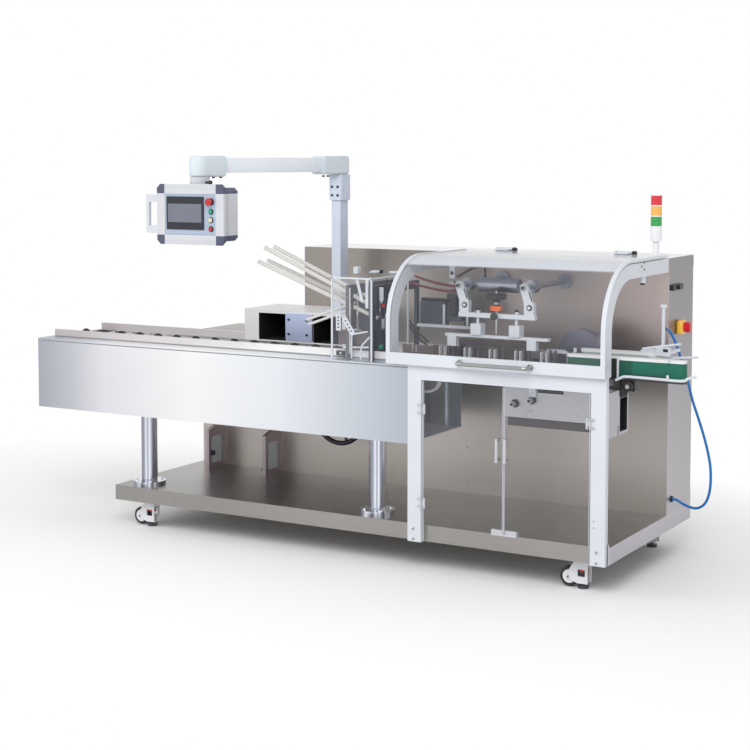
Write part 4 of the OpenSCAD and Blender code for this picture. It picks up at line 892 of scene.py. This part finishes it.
# %% Links of the carton chains
TRACK_LEFT, TRACK_RIGHT, TRACK_Z, TRACK_R = 1705, 2458, 746, 24
LINK_PITCH = 25.4


def loop_place(distance, lift):
    """A place and a turn on the chain's loop, lifted off its surface."""
    straight = TRACK_RIGHT - TRACK_LEFT
    bend = math.pi * TRACK_R
    distance %= 2 * (straight + bend)
    radius = TRACK_R + lift
    if distance < straight:
        return TRACK_LEFT + distance, TRACK_Z + radius, 0.0
    if distance < straight + bend:
        angle = (distance - straight) / TRACK_R
        return TRACK_RIGHT + radius * math.sin(angle), TRACK_Z + radius * math.cos(angle), angle
    if distance < 2 * straight + bend:
        return TRACK_RIGHT - (distance - straight - bend), TRACK_Z - radius, math.pi
    angle = (distance - 2 * straight - bend) / TRACK_R
    return TRACK_LEFT - radius * math.sin(angle), TRACK_Z - radius * math.cos(angle), math.pi + angle


LOOP_LENGTH = 2 * (TRACK_RIGHT - TRACK_LEFT) + 2 * math.pi * TRACK_R
link_count = int(LOOP_LENGTH / LINK_PITCH)
link_places, link_turns = [], []
for middle in (205, 295):
    for k in range(link_count):
        x, z, angle = loop_place(k * LOOP_LENGTH / link_count, 3.0)
        link_places.append((x, middle, z))
        link_turns.append((0, angle, 0))
repeat("carton_chain_links", "machine", LINKS, link_places, link_turns,
       {"Pitch": LINK_PITCH * MM, "Width": 18 * MM}, zinc_lugs, dark_steel)

# %% [markdown]
# Each bucket of the infeed has a rounded black end plate whose top shows above the front guide rail. The
# shade at the rail's foot and under the folded edge of the skirt is painted as two thin grey strips along
# the trough.

# %% Bucket ends and painted shadow lines along the trough
END_PITCH, END_FIRST, END_COUNT = 114.3, -267.8, 16
END_HALF, END_MIDDLE, END_R = 24, 792, 34
ends = Piece("bucket_ends", "machine", bucket_black, seam_and_shadow_grey)
for k in range(END_COUNT):
    x = END_FIRST + k * END_PITCH
    ends.rod((x, 108, END_MIDDLE), (x, 113, END_MIDDLE), END_R, 0, 40, 1)
    ends.box((x - END_HALF, 108, 742), (x + END_HALF, 113, END_MIDDLE), 0, 1)
# Painted shadow lines: thin grey strips at the rail's foot and under the skirt's folded edge.
for front, low, high in ((84, 778, 783), (-20.8, 766, 771)):
    ends.box((-450, front, low), (1668, front + 1, high), 1, 0.3)
ends.done()

# %% [markdown]
# The pusher housing has two dark tunnels where the pushers wait. A lining of thin black plates inside each
# tunnel paints in their shade, without closing the openings.

# %% Tunnel linings of painted shade
TUNNEL_LEFTS = (588.5, 905.5)
TUNNEL_WIDE, TUNNEL_LOW, TUNNEL_HIGH, TUNNEL_FRONT, TUNNEL_BACK = 165, 791, 924, 404, 662
LINING = 2
lining = Piece("tunnel_shade_linings", "machine", painted_shade_black)
for left in TUNNEL_LEFTS:
    right = left + TUNNEL_WIDE
    for x in (left, right - LINING):
        lining.box((x, TUNNEL_FRONT, TUNNEL_LOW), (x + LINING, TUNNEL_BACK, TUNNEL_HIGH), bevel=0)
    left, right = left + LINING, right - LINING
    for z in (TUNNEL_LOW, TUNNEL_HIGH - LINING):
        lining.box((left, TUNNEL_FRONT, z), (right, TUNNEL_BACK, z + LINING), bevel=0)
    lining.box((left, TUNNEL_BACK - LINING, TUNNEL_LOW + LINING),
               (right, TUNNEL_BACK, TUNNEL_HIGH - LINING), bevel=0)
lining.done()

# %% [markdown]
# Behind the magazine's clear guard sits the carton opener: dark slanted plates,
# two pierced strips, bent guide wires, a small cylinder and its cable. Only their
# outer forms show, so they are built as plain sheet and bar at their places.

# %% Carton opener behind the guard
opener = Piece("carton_opener", "machine", slate_steel, white_paint, bright_steel, black_plastic,
               lilac_plate, green_plastic, red_plastic, brown_rail)
opener.box((1362, 130, 800), (1374, 300, 950), 0, 1.5, turned("Y", -22))
opener.box((1330, 122, 905), (1412, 140, 1035), 0, 1.5)
opener.box((1275, 120, 786), (1415, 300, 836), 3, 2)
opener.box((1330, 150, 836), (1415, 290, 900), 0, 2)
opener.box((1244, 82, 838), (1418, 90, 904), 7, 2)
opener.box((1245, 60, 788), (1292, 68, 811), 3, 2)
opener.rod((1272, 60, 800), (1272, 55, 800), 6, 2, 6)
opener.rod((1280, 70, 826), (1418, 70, 833), 7, 2)
opener.rod((1320, 60, 1100), (1320, 60, 800), 6, 2)
for low, high in (((1277, 30, 974), (1277, 30, 914)), ((1311, 30, 959), (1349, 30, 900))):
    low, high = Vector(low), Vector(high)
    run = high - low
    lean = math.degrees(math.atan2(run.x, -run.z))
    middle = (low + high) / 2
    half = Vector((13, 1.5, run.length / 2 + 8))
    opener.box(middle - half, middle + half, 1, 0.8, turned("Y", -lean))
    for k in range(4):
        hole = low + run * (k + 0.5) / 4
        opener.rod(hole - Vector((0, 1.9, 0)), hole, 4.5, 3, 16, 0.2)
for route in ([(1430, 30, 909), (1352, 30, 893), (1347, 30, 880), (1346, 30, 782)],
              [(1440, 30, 884), (1402, 30, 846), (1397, 30, 836), (1395, 30, 782)]):
    opener.sweep(route, 4, 1)
opener.box((1366, 55, 1036), (1380, 60, 1140), 1, 0.8, turned("Y", -16))
opener.box((1402, 58, 1010), (1417, 64, 1139), 1, 0.8)
opener.rod((1450, 120, 1042), (1450, 120, 1103), 11, 1)
opener.rod((1450, 120, 1030), (1450, 120, 1042), 6, 2)
opener.rod((1452, 130, 916), (1452, 130, 961), 13, 4)
OPENER_CABLE = [(1462, 150, 1138), (1458, 140, 1072), (1445, 128, 1000), (1448, 124, 955)]
opener.sweep(smooth_route(OPENER_CABLE), 4, 3)
opener.box((1440, 110, 822), (1458, 128, 842), 5, 2)
opener.box((1456, 112, 1012), (1468, 124, 1028), 6, 2)
opener.done()

# %% [markdown]
# The clear guard over the opener has white sawn edges. On its top are a block, two
# discs, a black knob and a screw near each corner.

# %% Guard over the opener
GUARD_LEFT, GUARD_RIGHT, GUARD_LOW, GUARD_TOP, GUARD_BACK = 1262, 1476, 778, 1153, 330
guard_top = Piece("guard_fittings", "machine", white_paint, black_plastic)
guard_top.box((1250, 205, 1152), (1276, 235, 1184), 0, 2)
for x in (1318, 1416):
    guard_top.rod((x, 296, 1152), (x, 296, 1164), 24, 0, 32, 5)
guard_top.rod((1346, 300, 1152), (1346, 300, 1168), 9, 1, 20, 3)
guard_top.done()
EDGE, EDGE_FRONT, EDGE_BACK = 8, -11, -3
SIDE_RIGHT, SIDE_LOW = GUARD_RIGHT + 1, 822
SIDE_LEFT, TOP_LOW = SIDE_RIGHT - EDGE, GUARD_TOP - EDGE
edges = Piece("guard_edges", "machine", white_paint)
for x in (GUARD_LEFT, GUARD_RIGHT - EDGE):
    edges.box((x, EDGE_FRONT, GUARD_LOW), (x + EDGE, EDGE_BACK, GUARD_TOP), 0, 1.5)
edges.box((GUARD_LEFT, EDGE_FRONT, TOP_LOW), (GUARD_RIGHT, EDGE_BACK, GUARD_TOP), 0, 1.5)
for front, foot in ((EDGE_BACK, TOP_LOW), (GUARD_BACK - EDGE, SIDE_LOW)):
    edges.box((SIDE_LEFT, front, foot), (SIDE_RIGHT, GUARD_BACK, GUARD_TOP), 0, 1.5)
edges.done()
guard_screws = [(x, y, 1152) for x in (1274, 1464) for y in (4, 318)]
screws("guard_screws", "machine", 5, 3, [(UP, guard_screws)], bright_steel)

# %% [markdown]
# Under the hood the press unit is set by a small black hand wheel on a spindle,
# locked by an orange nut. Its two levers have a nut, a slanted slot and a black
# washer each.

# %% Press fittings
WHEEL_X, WHEEL_Y = 1950, 276
fit = Piece("press_fittings", "machine", black_plastic, bright_steel, orange_plastic, white_paint)
fit.box((WHEEL_X - 8, WHEEL_Y - 8, 1096), (WHEEL_X + 8, 322, 1108), 0, 2)
SPINDLE = ((1098, 904, 4, 1, 24, 0.8), (1060, 1084, 46, 0, 40, 6), (1046, 1060, 17, 0, 24, 0.8),
           (1036, 1046, 10, 3, 24, 0.8), (1028, 1036, 15, 0, 24, 0.8), (1008, 1030, 27, 2, 6, 2))
for low, high, radius, finish, sides, chamfer in SPINDLE:
    fit.rod((WHEEL_X, WHEEL_Y, low), (WHEEL_X, WHEEL_Y, high), radius, finish, sides, chamfer)
fit.rod((WHEEL_X + 17, 226, 988), (WHEEL_X + 17, 206, 988), 16, 0, 20, 4)
for x in (1782, 2099):
    fit.rod((x, 241, 1118), (x, 228, 1118), 13, 1, 6)
    fit.rod((x, 228, 1118), (x, 222, 1118), 8, 0, 16)
    fit.box((x + 29, 239, 1060), (x + 34, 241.5, 1104), 0, 1, turned("Y", -20))
    fit.rod((x + 31, 235, 1032), (x + 31, 230, 1032), 13, 0, 24, 2)
    fit.rod((x + 31, 230, 1032), (x + 31, 227, 1032), 8, 3, 6)
for x in (1872, 2061):
    fit.rod((x, 250, 998), (x, 250, 1010), 14, 1, 6)
    fit.rod((x, 250, 1010), (x, 250, 1018), 9, 0, 20)
fit.done()

# %% [markdown]
# Left of the press stand the erecting tools: dark blocks and pale bars, with red
# tubes and black cables.

# %% Erecting tools
tools = Piece("erecting_tools", "machine", slate_steel, white_paint, bright_steel, tube_red, black_plastic)
tools.box((1616, 440, 930), (1690, 520, 1060), 0, 3)
tools.box((1640, 420, 960), (1674, 440, 1040), 4, 2)
tools.box((1480, 430, 905), (1616, 470, 1018), 0, 3)
tools.box((1480, 440, 1018), (1700, 470, 1034), 4, 2)
tools.box((1690, 470, 900), (1716, 520, 985), 0, 3)
tools.box((1480, 400, 902), (1760, 412, 916), 1, 1)
tools.rod((1620, 406, 918), (1620, 406, 1010), 7, 2)
tools.rod((1740, 406, 918), (1740, 406, 960), 6, 2)
tools.box((1626, 440, 1080), (1654, 560, 1118), 2, 2)
tools.box((1593, 246, 1222), (1775, 274, 1230), 1, 1)
tools.box((1728, 250, 1146), (1754, 254, 1222), 1, 1)
tools.rod((1741, 249, 1170), (1741, 262, 1170), 9, 4)
TUBE_ROUTES = [
    [(1500, 350, 1141), (1580, 350, 1120), (1660, 350, 1106), (1724, 356, 1102), (1745, 420, 1108)],
    [(1468, 350, 1109), (1560, 350, 1092), (1640, 352, 1080), (1693, 360, 1079), (1720, 420, 1084)],
]
for route in TUBE_ROUTES:
    tools.sweep(smooth_route(route), 6, 3)
for lift in (0, -22):
    cable = [(1480, 330, 936 + lift), (1520, 326, 890 + lift), (1584, 324, 842 + lift)]
    tools.sweep(smooth_route(cable), 5, 4)
for a, b in (((1640, 500, 1134), (1722, 500, 1178)), ((1722, 500, 1178), (1783, 500, 1190)),
             ((1783, 500, 1190), (1800, 470, 1140))):
    tools.rod(a, b, 6, 0)
tools.done()

# %% [markdown]
# Below run brown guide rails with two small grey lugs in front, and a short white
# toothed strip beside a grey block.

# %% Lower rails
RAIL_FEET = (1740, 2060)
TOOTH_PITCH = 10
rails = Piece("lower_rails", "machine", brown_rail, lilac_plate, white_paint, dark_steel)
rails.box((1722, 330, 838), (2090, 340, 868), 0, 1)
rails.box((1600, 332, 738), (2072, 340, 830), 0, 1)
rails.box((1580, 83, 806), (1735, 88, 858), 0, 1)
for x in (1630, 1647):
    rails.box((x, 78, 824), (x + 9, 83, 858), 1, 0.6)
for x in RAIL_FEET:
    rails.box((x, 332, 720), (x + 24, 338, 838), 3, 1)
rails.box((2084, 326, 795), (2168, 366, 836), 1, 3)
rails.box((2100, 336, 720), (2150, 356, 795), 3, 2)
STRIP_LEFT, STRIP_RIGHT = 2168, 2270
FIRST_TOOTH, TOOTH = STRIP_LEFT + 4, TOOTH_PITCH / 2
rails.box((STRIP_LEFT, 330, 828), (STRIP_RIGHT, 342, 838), 2, 0.6)
for k in range(int((STRIP_RIGHT - FIRST_TOOTH) / TOOTH_PITCH)):
    x = FIRST_TOOTH + k * TOOTH_PITCH
    rails.box((x, 330, 838), (x + TOOTH, 342, 845), 2, 0.6)
rails.rod((2304, 336, 720), (2304, 336, 856), 8, 2)
rails.done()

# %% [markdown]
# The drive box shows a dark slot, a sensor bracket, rings on its two shafts and a deep open end, whose
# shade is painted by a lining of thin dark plates.

# %% Drive box fittings
drive = Piece("drive_fittings", "machine", painted_shade_black, black_plastic, bright_steel, white_paint,
              dark_strip)
drive.box((2234, 98, 683), (2352, 100, 706), 1, 0.6)
drive.box((2234, 97, 679), (2352, 100, 683), 3, 0.6)
# Painted shade: a dark plate across the open right end.
drive.box((2597.2, 122, 686), (2599, 206, 768), 0, 0)
drive.box((2088, 108.5, 531), (2584, 112, 569), 4, 0.6)
drive.box((2196, 88, 664), (2228, 100, 710), 3, 1.5)
drive.box((2085, 94, 704), (2190, 100, 711), 2, 1)
for x, z in ((2127, 630), (2208, 650)):
    drive.ring((x, 94, z), FRONT, 14, 4, 1)
    drive.rod((x, 64, z), (x, 58, z), 7, 1, 6)
# Painted shade: thin dark plates line the open pocket.
POCKET_LEFT, POCKET_FRONT, POCKET_BACK, POCKET_LOW, POCKET_HIGH = 2477, 124, 208, 542, 684
drive.box((POCKET_LEFT, POCKET_FRONT, POCKET_LOW), (POCKET_LEFT + 2, POCKET_BACK, POCKET_HIGH), 0, 0)
for y in (POCKET_FRONT, POCKET_BACK - LINING):
    drive.box((POCKET_LEFT + 2, y, POCKET_LOW), (2596, y + LINING, POCKET_HIGH), 0, 0)
for z in (POCKET_LOW, POCKET_HIGH - LINING):
    drive.box((POCKET_LEFT + 2, POCKET_FRONT + LINING, z), (2596, POCKET_BACK - LINING, z + LINING), 0, 0)
drive.done()

# %% [markdown]
# The discharge carries a bent guide rail on short pins, a clamp knob, a clamp block
# with a slot, and a black gap plate where the belt leaves the hood.

# %% Discharge fittings
exit_kit = Piece("discharge_fittings", "machine", white_paint, black_plastic, bright_steel, dark_strip)
exit_kit.sweep(smooth_route([(2582, 110, 761), (2607, 110, 773), (2632, 110, 779), (2760, 110, 778),
                             (2868, 110, 777), (2896, 110, 789), (2928, 110, 799)]), 6, 0)
for x in (2640, 2808, 2868):
    exit_kit.rod((x, 110, 779), (x, 132, 779), 5, 2)
exit_kit.box((2804, 103, 780), (2814, 112, 797), 0, 1)
exit_kit.box((2802, 112, 846), (2812, 128, 858), 0, 1)
exit_kit.box((2636, 122, 770), (2800, 127, 787), 3, 1)
exit_kit.box((2679, 316, 846), (2744, 328, 884), 0, 2)
exit_kit.box((2713, 314, 866), (2735, 317, 878), 1, 0.5)
exit_kit.sweep([(2712, 350, 835), (2855, 350, 848)], 5, 0)
exit_kit.box((2556, 118, 762), (2583, 127, 850), 1, 1)
exit_kit.box((2583, 118, 762), (2591, 127, 850), 0, 1)
exit_kit.rod((2596, 380, 866), (2757, 420, 891), 5, 0)
exit_kit.rod((2636, 128, 738), (2636, 104, 738), 22, 1, 8, 4)
exit_kit.rod((2636, 104, 738), (2636, 98, 738), 9, 2)
exit_kit.box((2612, 128, 716), (2660, 152, 760), 1, 2)
exit_kit.rod((2676, 420, 868), (2676, 420, 876), 20, 2, 6)
exit_kit.done()

# %% [markdown]
# A sawn edge of clear sheet looks white, because it scatters the light that runs
# inside the sheet. Thin strips on the doors' edges stand for it.

# %% Door edges
SHEET_EDGE = 2.0
for name, body in (("left_door", "left_leaf"), ("right_door", "right_leaf")):
    low, high = ((Vector(c) - CORNER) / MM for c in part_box(name))
    rim = Piece(f"{name}_edges", body, white_paint)
    for x in (low.x - 0.2, high.x + 0.2 - SHEET_EDGE):
        rim.box((x, low.y - 0.2, low.z), (x + SHEET_EDGE, high.y + 0.2, high.z), 0, 0.3)
    rim.done()

# %% [markdown]
# The operator panel hangs from the arm. Its face is a blue grey plate set into a
# pale profile, with a flush display, an emergency stop and three small buttons.

# %% Operator panel
COLUMN_X, COLUMN_Y, ARM_L, ARM_ANGLE = 977, 536, 907, 12
HANG_X = COLUMN_X - ARM_L * math.sin(math.radians(ARM_ANGLE))
HANG_Y = COLUMN_Y - ARM_L * math.cos(math.radians(ARM_ANGLE))
FACE_Y = HANG_Y - 75
PANEL_MID = 1437
face = Piece("panel_face_plate", "panel", panel_face, display_grey, black_plastic, slate_cap, profile_grey)
face.box((HANG_X - 137, FACE_Y + 1, 1348), (HANG_X + 137, FACE_Y + 4, 1526), 0, 0.6)
face.box((HANG_X - 119, FACE_Y - 3.6, 1402), (HANG_X + 64, FACE_Y - 1, 1484), 1, 0.4)
face.box((HANG_X + 165, HANG_Y - 50, 1377), (HANG_X + 166.8, HANG_Y - 42, 1493), 3, 0.4)
face.box((HANG_X + 166, HANG_Y - 26, 1346), (HANG_X + 169, HANG_Y - 20, 1528), 4, 1)
for z in (1312, 1322, 1552, 1562):
    face.box((HANG_X - 138, FACE_Y - 1.2, z - 2), (HANG_X + 138, FACE_Y + 1, z + 2), 4, 0.6)
face.rod((HANG_X + 40, HANG_Y - 10, 1578), (HANG_X + 72, HANG_Y - 22, 1578), 5, 2)
face.ball((HANG_X + 74, HANG_Y - 22, 1578), 10, 2)
face.ring((HANG_X, HANG_Y, 1560), UP, 44, 3, 4)
face.done()

buttons = Piece("panel_button_set", "panel", button_red, green_plastic, cream_plastic, black_plastic)
BUTTON_X = HANG_X + 114
BUTTON_FOOT = FACE_Y + 4
STOP_Z = PANEL_MID + 57
buttons.rod((BUTTON_X, BUTTON_FOOT, STOP_Z), (BUTTON_X, FACE_Y - 2, STOP_Z), 16, 3)
buttons.rod((BUTTON_X, FACE_Y - 2, STOP_Z), (BUTTON_X, FACE_Y - 14, STOP_Z), 11, 0)
buttons.rod((BUTTON_X, FACE_Y - 14, STOP_Z), (BUTTON_X, FACE_Y - 24, STOP_Z), 17, 0, 32, 3)
for lift, cap in ((14, 1), (-23, 2), (-62, 0)):
    z = PANEL_MID + lift
    buttons.rod((BUTTON_X, BUTTON_FOOT, z), (BUTTON_X, FACE_Y - 2, z), 13, 3)
    buttons.rod((BUTTON_X, FACE_Y - 2, z), (BUTTON_X, FACE_Y - 8, z), 10, cap, 28, 2)
buttons.done("signal_red", ["panel_buttons"])

# %% [markdown]
# The arm is an extruded tube between two cast elbows. Castings never have sharp
# edges, so the elbows are redrawn with generous rounds on the same outline.

# %% Swing arm with rounded elbows
ELBOW_R, ELBOW_TOP = 46, 1696


def elbow_outline(axis_y, reach):
    """A half round end about the axis and a straight body along the arm."""
    sign = 1 if reach > 0 else -1
    arc = [(ELBOW_R * math.cos(math.pi * k / 16), axis_y - sign * ELBOW_R * math.sin(math.pi * k / 16))
           for k in range(17)]
    return arc + [(-ELBOW_R, axis_y + reach), (ELBOW_R, axis_y + reach)]


arm_place = Matrix.Translation((COLUMN_X, COLUMN_Y, 0)) @ turned("Z", -ARM_ANGLE)
arm = Piece("swing_arm", "arm", arm_paint, tube_paint, black_plastic)
arm.slab(elbow_outline(0, -150), 1608, ELBOW_TOP, 0, 12, 4, arm_place)
arm.slab(elbow_outline(-ARM_L, 118), 1602, ELBOW_TOP, 0, 12, 4, arm_place)
arm.slab([(-25, -ARM_L + 112), (25, -ARM_L + 112), (25, -144), (-25, -144)], 1620, 1688, 1, 4, 2, arm_place)
for y in (-140, -108, -ARM_L + 60, -ARM_L + 104):
    start = arm_place @ Vector((24, y, 1604))
    arm.rod(start, start - Vector((0, 0, 8)), 7, 2, 12)
arm.rod((HANG_X, HANG_Y, 1604), (HANG_X, HANG_Y, 1580), 14, 0)
arm.done("arm_grey", ["panel_arm"])

# %% [markdown]
# The main switch is moulded: a yellow cover with well rounded edges and a red
# knob with a grip bar. Moulded rounds catch the light, so both are redrawn with
# them on the same outline.

# %% Main switch
SWITCH_X, SWITCH_Y, SWITCH_Z = 2600, 830, 920
COVER_HALF, COVER_DEEP = 33, 30
KNOB_X = SWITCH_X + COVER_DEEP + 0.3
cover = Piece("switch_cover", "machine", yellow_plastic)
cover.box((SWITCH_X, SWITCH_Y - COVER_HALF, SWITCH_Z - COVER_HALF),
          (SWITCH_X + COVER_DEEP, SWITCH_Y + COVER_HALF, SWITCH_Z + COVER_HALF), 0, 12, steps=5)
cover.done("isolator_yellow", ["isolator_base"])
knob = Piece("switch_knob", "isolator", red_plastic)
knob.rod((KNOB_X, SWITCH_Y, SWITCH_Z), (KNOB_X + 10, SWITCH_Y, SWITCH_Z), 23, 0, 40, 3)
knob.box((KNOB_X, SWITCH_Y - 9, SWITCH_Z - 23), (KNOB_X + 28, SWITCH_Y + 9, SWITCH_Z + 23), 0, 5, steps=3)
knob.done("signal_red", ["isolator_knob"])

# %% [markdown]
# The signal tower is a stack of lenses with thin pale rings between them. Black
# caps close the right ends of the hood's hinge pins, a small sensor hangs under
# the right arch, and folded edges show as thin seams at the plinth's end.

# %% Tower rings, hinge caps, sensor and seams
TOWER_X, TOWER_Y, LAMP_LOW, LAMP_PITCH = 2508, 778, 1376, 47.6
tower = Piece("tower_rings_and_caps", "machine", pale_plastic, black_plastic)
for k in range(4):
    z = LAMP_LOW + k * LAMP_PITCH
    tower.rod((TOWER_X, TOWER_Y, z - 2.5), (TOWER_X, TOWER_Y, z + 2.5), 26.3, 0, 40, 0.8)
for x in (1792, 2387):
    tower.rod((x + 37, 702, 1258), (x + 58, 702, 1258), 9, 1, 24, 2)
tower.done()
trim = Piece("sensor_and_seams", "machine", white_paint, seam_and_shadow_grey, black_plastic)
trim.rod((2586, 402, 1200), (2586, 402, 1148), 13, 0)
trim.rod((2586, 402, 1148), (2586, 402, 1140), 10, 2)
SEAM_LOW, SEAM_HIGH, SEAM = 2, 88, 0.8
for x, front, back, finish in ((2600, 1, 11, 0), (ARCH_FACE, -9, -1, 1)):
    trim.box((x, front, SEAM_LOW), (x + SEAM, back, SEAM_HIGH), finish, 0.2)
trim.done()

# %% [markdown]
# The support gussets have pale pockets on both sides, one with a dark knob. The
# casters carry a red adjusting ring above each levelling foot, hubs and axle bolts.

# %% Gusset pockets and caster fittings
pockets = Piece("gusset_pockets", "machine", tube_paint, slate_cap, black_plastic)
for x in (154, 509):
    for side in (-1, 1):
        pockets.box((x + side * 4 - 0.8, 582, 97), (x + side * 4 + 0.8, 678, 238), 0, 0.4)
pockets.rod((158, 590, 152), (176, 590, 152), 13, 1, 28, 3)
pockets.rod((176, 590, 152), (179, 590, 152), 6, 2, 6)
pockets.rod((499, 566, 101), (490, 566, 101), 7, 2, 6)
pockets.done()
CASTERS = [(x, y) for y in (100, 932) for x in (150, 2450)]
rings = Piece("caster_rings", "machine", red_plastic)
for x, y in CASTERS:
    rings.rod((x, y, -63), (x, y, -53), 20, 0, 32, 2)
rings.done()
WHEEL_TRAIL, WHEEL_Z = 60, -89
for k, (x, y) in enumerate(CASTERS, 1):
    axle = (x - WHEEL_TRAIL, WHEEL_Z)
    hub = Piece(f"wheel_hub_{k}", f"wheel_{k}", pale_plastic)
    for side in (-1, 1):
        hub.rod((axle[0], y + side * 13, axle[1]), (axle[0], y + side * 15, axle[1]), 29, 0, 36, 1)
        hub.ring((axle[0], y + side * 15, axle[1]), FRONT, 18, 1.6, 0)
    hub.done()
    screws(f"axle_bolts_{k}", f"fork_{k}", 8, 4, [
        (FRONT, [(axle[0], y - 24.5, axle[1])]), (BACK, [(axle[0], y + 24.5, axle[1])])], bright_steel)

# %% [markdown]
# A blue air hose hangs from the inlet beside the hood. A hose is extruded in one length and takes the
# smooth curve its stiffness allows, so it is swept along a route of a few listed points.

# %% Air hose
HOSE_ROUTE = [
    (2606, 767, 138), (2626, 767, 136), (2652, 764, 124), (2686, 757, 114),
    (2723, 745, 113), (2755, 732, 128), (2780, 720, 156), (2798, 706, 202),
    (2808, 690, 260), (2810, 674, 328), (2801, 657, 402), (2786, 640, 476),
    (2768, 621, 550), (2750, 600, 624), (2734, 572, 720), (2716, 540, 812),
    (2700, 508, 888), (2686, 480, 934), (2676, 452, 950),
]
HOSE_DIAMETER = 12
hose_line = smooth_route(HOSE_ROUTE)
hose = Piece("blue_air_hose", "machine", hose_blue)
hose.sweep(hose_line, HOSE_DIAMETER / 2, 0, 16)
hose = hose.done("blue_hose", ["air_hose"])

# %% [markdown]
# The stage is a pale floor that fades into an even white surround, as a paper
# roll does behind a product.

# %% Floor
FLOOR_SIZE = 60.0
FADE_NEAR, FADE_FAR = 0.9, 2.4
floor_mesh = bpy.data.meshes.new("floor")
half = FLOOR_SIZE / 2
floor_corners = [(-half, -half, 0), (half, -half, 0), (half, half, 0), (-half, half, 0)]
floor_mesh.from_pydata(floor_corners, [], [(0, 1, 2, 3)])
floor = bpy.data.objects.new("floor", floor_mesh)
bpy.context.scene.collection.objects.link(floor)
floor_paint, floor_tree, floor_shader = start_finish("pale_floor", card(250, 250, 250), 0.0, 0.9)
place = floor_tree.nodes.new("ShaderNodeTexCoord")
stretch = add(floor_tree, "ShaderNodeMapping", Scale=(0.6, 1.0, 1.0))
reach = floor_tree.nodes.new("ShaderNodeVectorMath")
reach.operation = "LENGTH"
wire(floor_tree, place.outputs["Object"], stretch.inputs["Vector"])
wire(floor_tree, stretch.outputs["Vector"], reach.inputs[0])
fade = to_range(floor_tree, reach.outputs["Value"], 0.0, 1.0, FADE_NEAR, FADE_FAR)
paper = floor_tree.nodes.new("ShaderNodeEmission")
blend = floor_tree.nodes.new("ShaderNodeMixShader")
wire(floor_tree, fade, blend.inputs["Fac"])
wire(floor_tree, floor_shader.outputs["BSDF"], blend.inputs[1])
wire(floor_tree, paper.outputs["Emission"], blend.inputs[2])
wire(floor_tree, blend.outputs["Shader"], floor_tree.nodes["Material Output"].inputs["Surface"])
floor_mesh.materials.append(floor_paint)
print("floor ready")

# %% [markdown]
# The surround is white to the camera, to gloss and through the clear sheets; its
# light on the machine stays at a plain level. Two soft boxes give the forms depth.

# %% Surround and lamps
world = bpy.data.worlds.new("white_surround")
world.use_nodes = True
bpy.context.scene.world = world
sky = world.node_tree
plain = sky.nodes["Background"]
plain.inputs["Color"].default_value = (1, 1, 1, 1)
rays = sky.nodes.new("ShaderNodeLightPath")
seen = rays.outputs["Is Camera Ray"]
for kind in ("Is Glossy Ray", "Is Transmission Ray"):
    seen = combined(sky, seen, rays.outputs[kind], "MAXIMUM")
PLAIN_LEVEL = 0.60
level = add(sky, "ShaderNodeMapRange", To_Min=PLAIN_LEVEL, To_Max=1.0)
wire(sky, seen, level.inputs["Value"])
wire(sky, level.outputs["Result"], plain.inputs["Strength"])


def soft_lamp(name, place, aim, width, power):
    """A square soft box that points at a place."""
    lamp = bpy.data.lights.new(name, "AREA")
    lamp.shape = "SQUARE"
    lamp.size = width
    lamp.energy = power
    holder = bpy.data.objects.new(name, lamp)
    holder.location = place
    holder.rotation_euler = (Vector(aim) - Vector(place)).to_track_quat("-Z", "Y").to_euler()
    bpy.context.scene.collection.objects.link(holder)


MIDDLE = (0.0, 0.0, 0.8)
soft_lamp("key_lamp", (2.5, -6.0, 5.5), MIDDLE, 4.0, 300)
soft_lamp("fill_lamp", (-5.5, -4.5, 4.0), MIDDLE, 4.0, 130)
bpy.context.scene.view_settings.view_transform = "Standard"
print("stage ready")
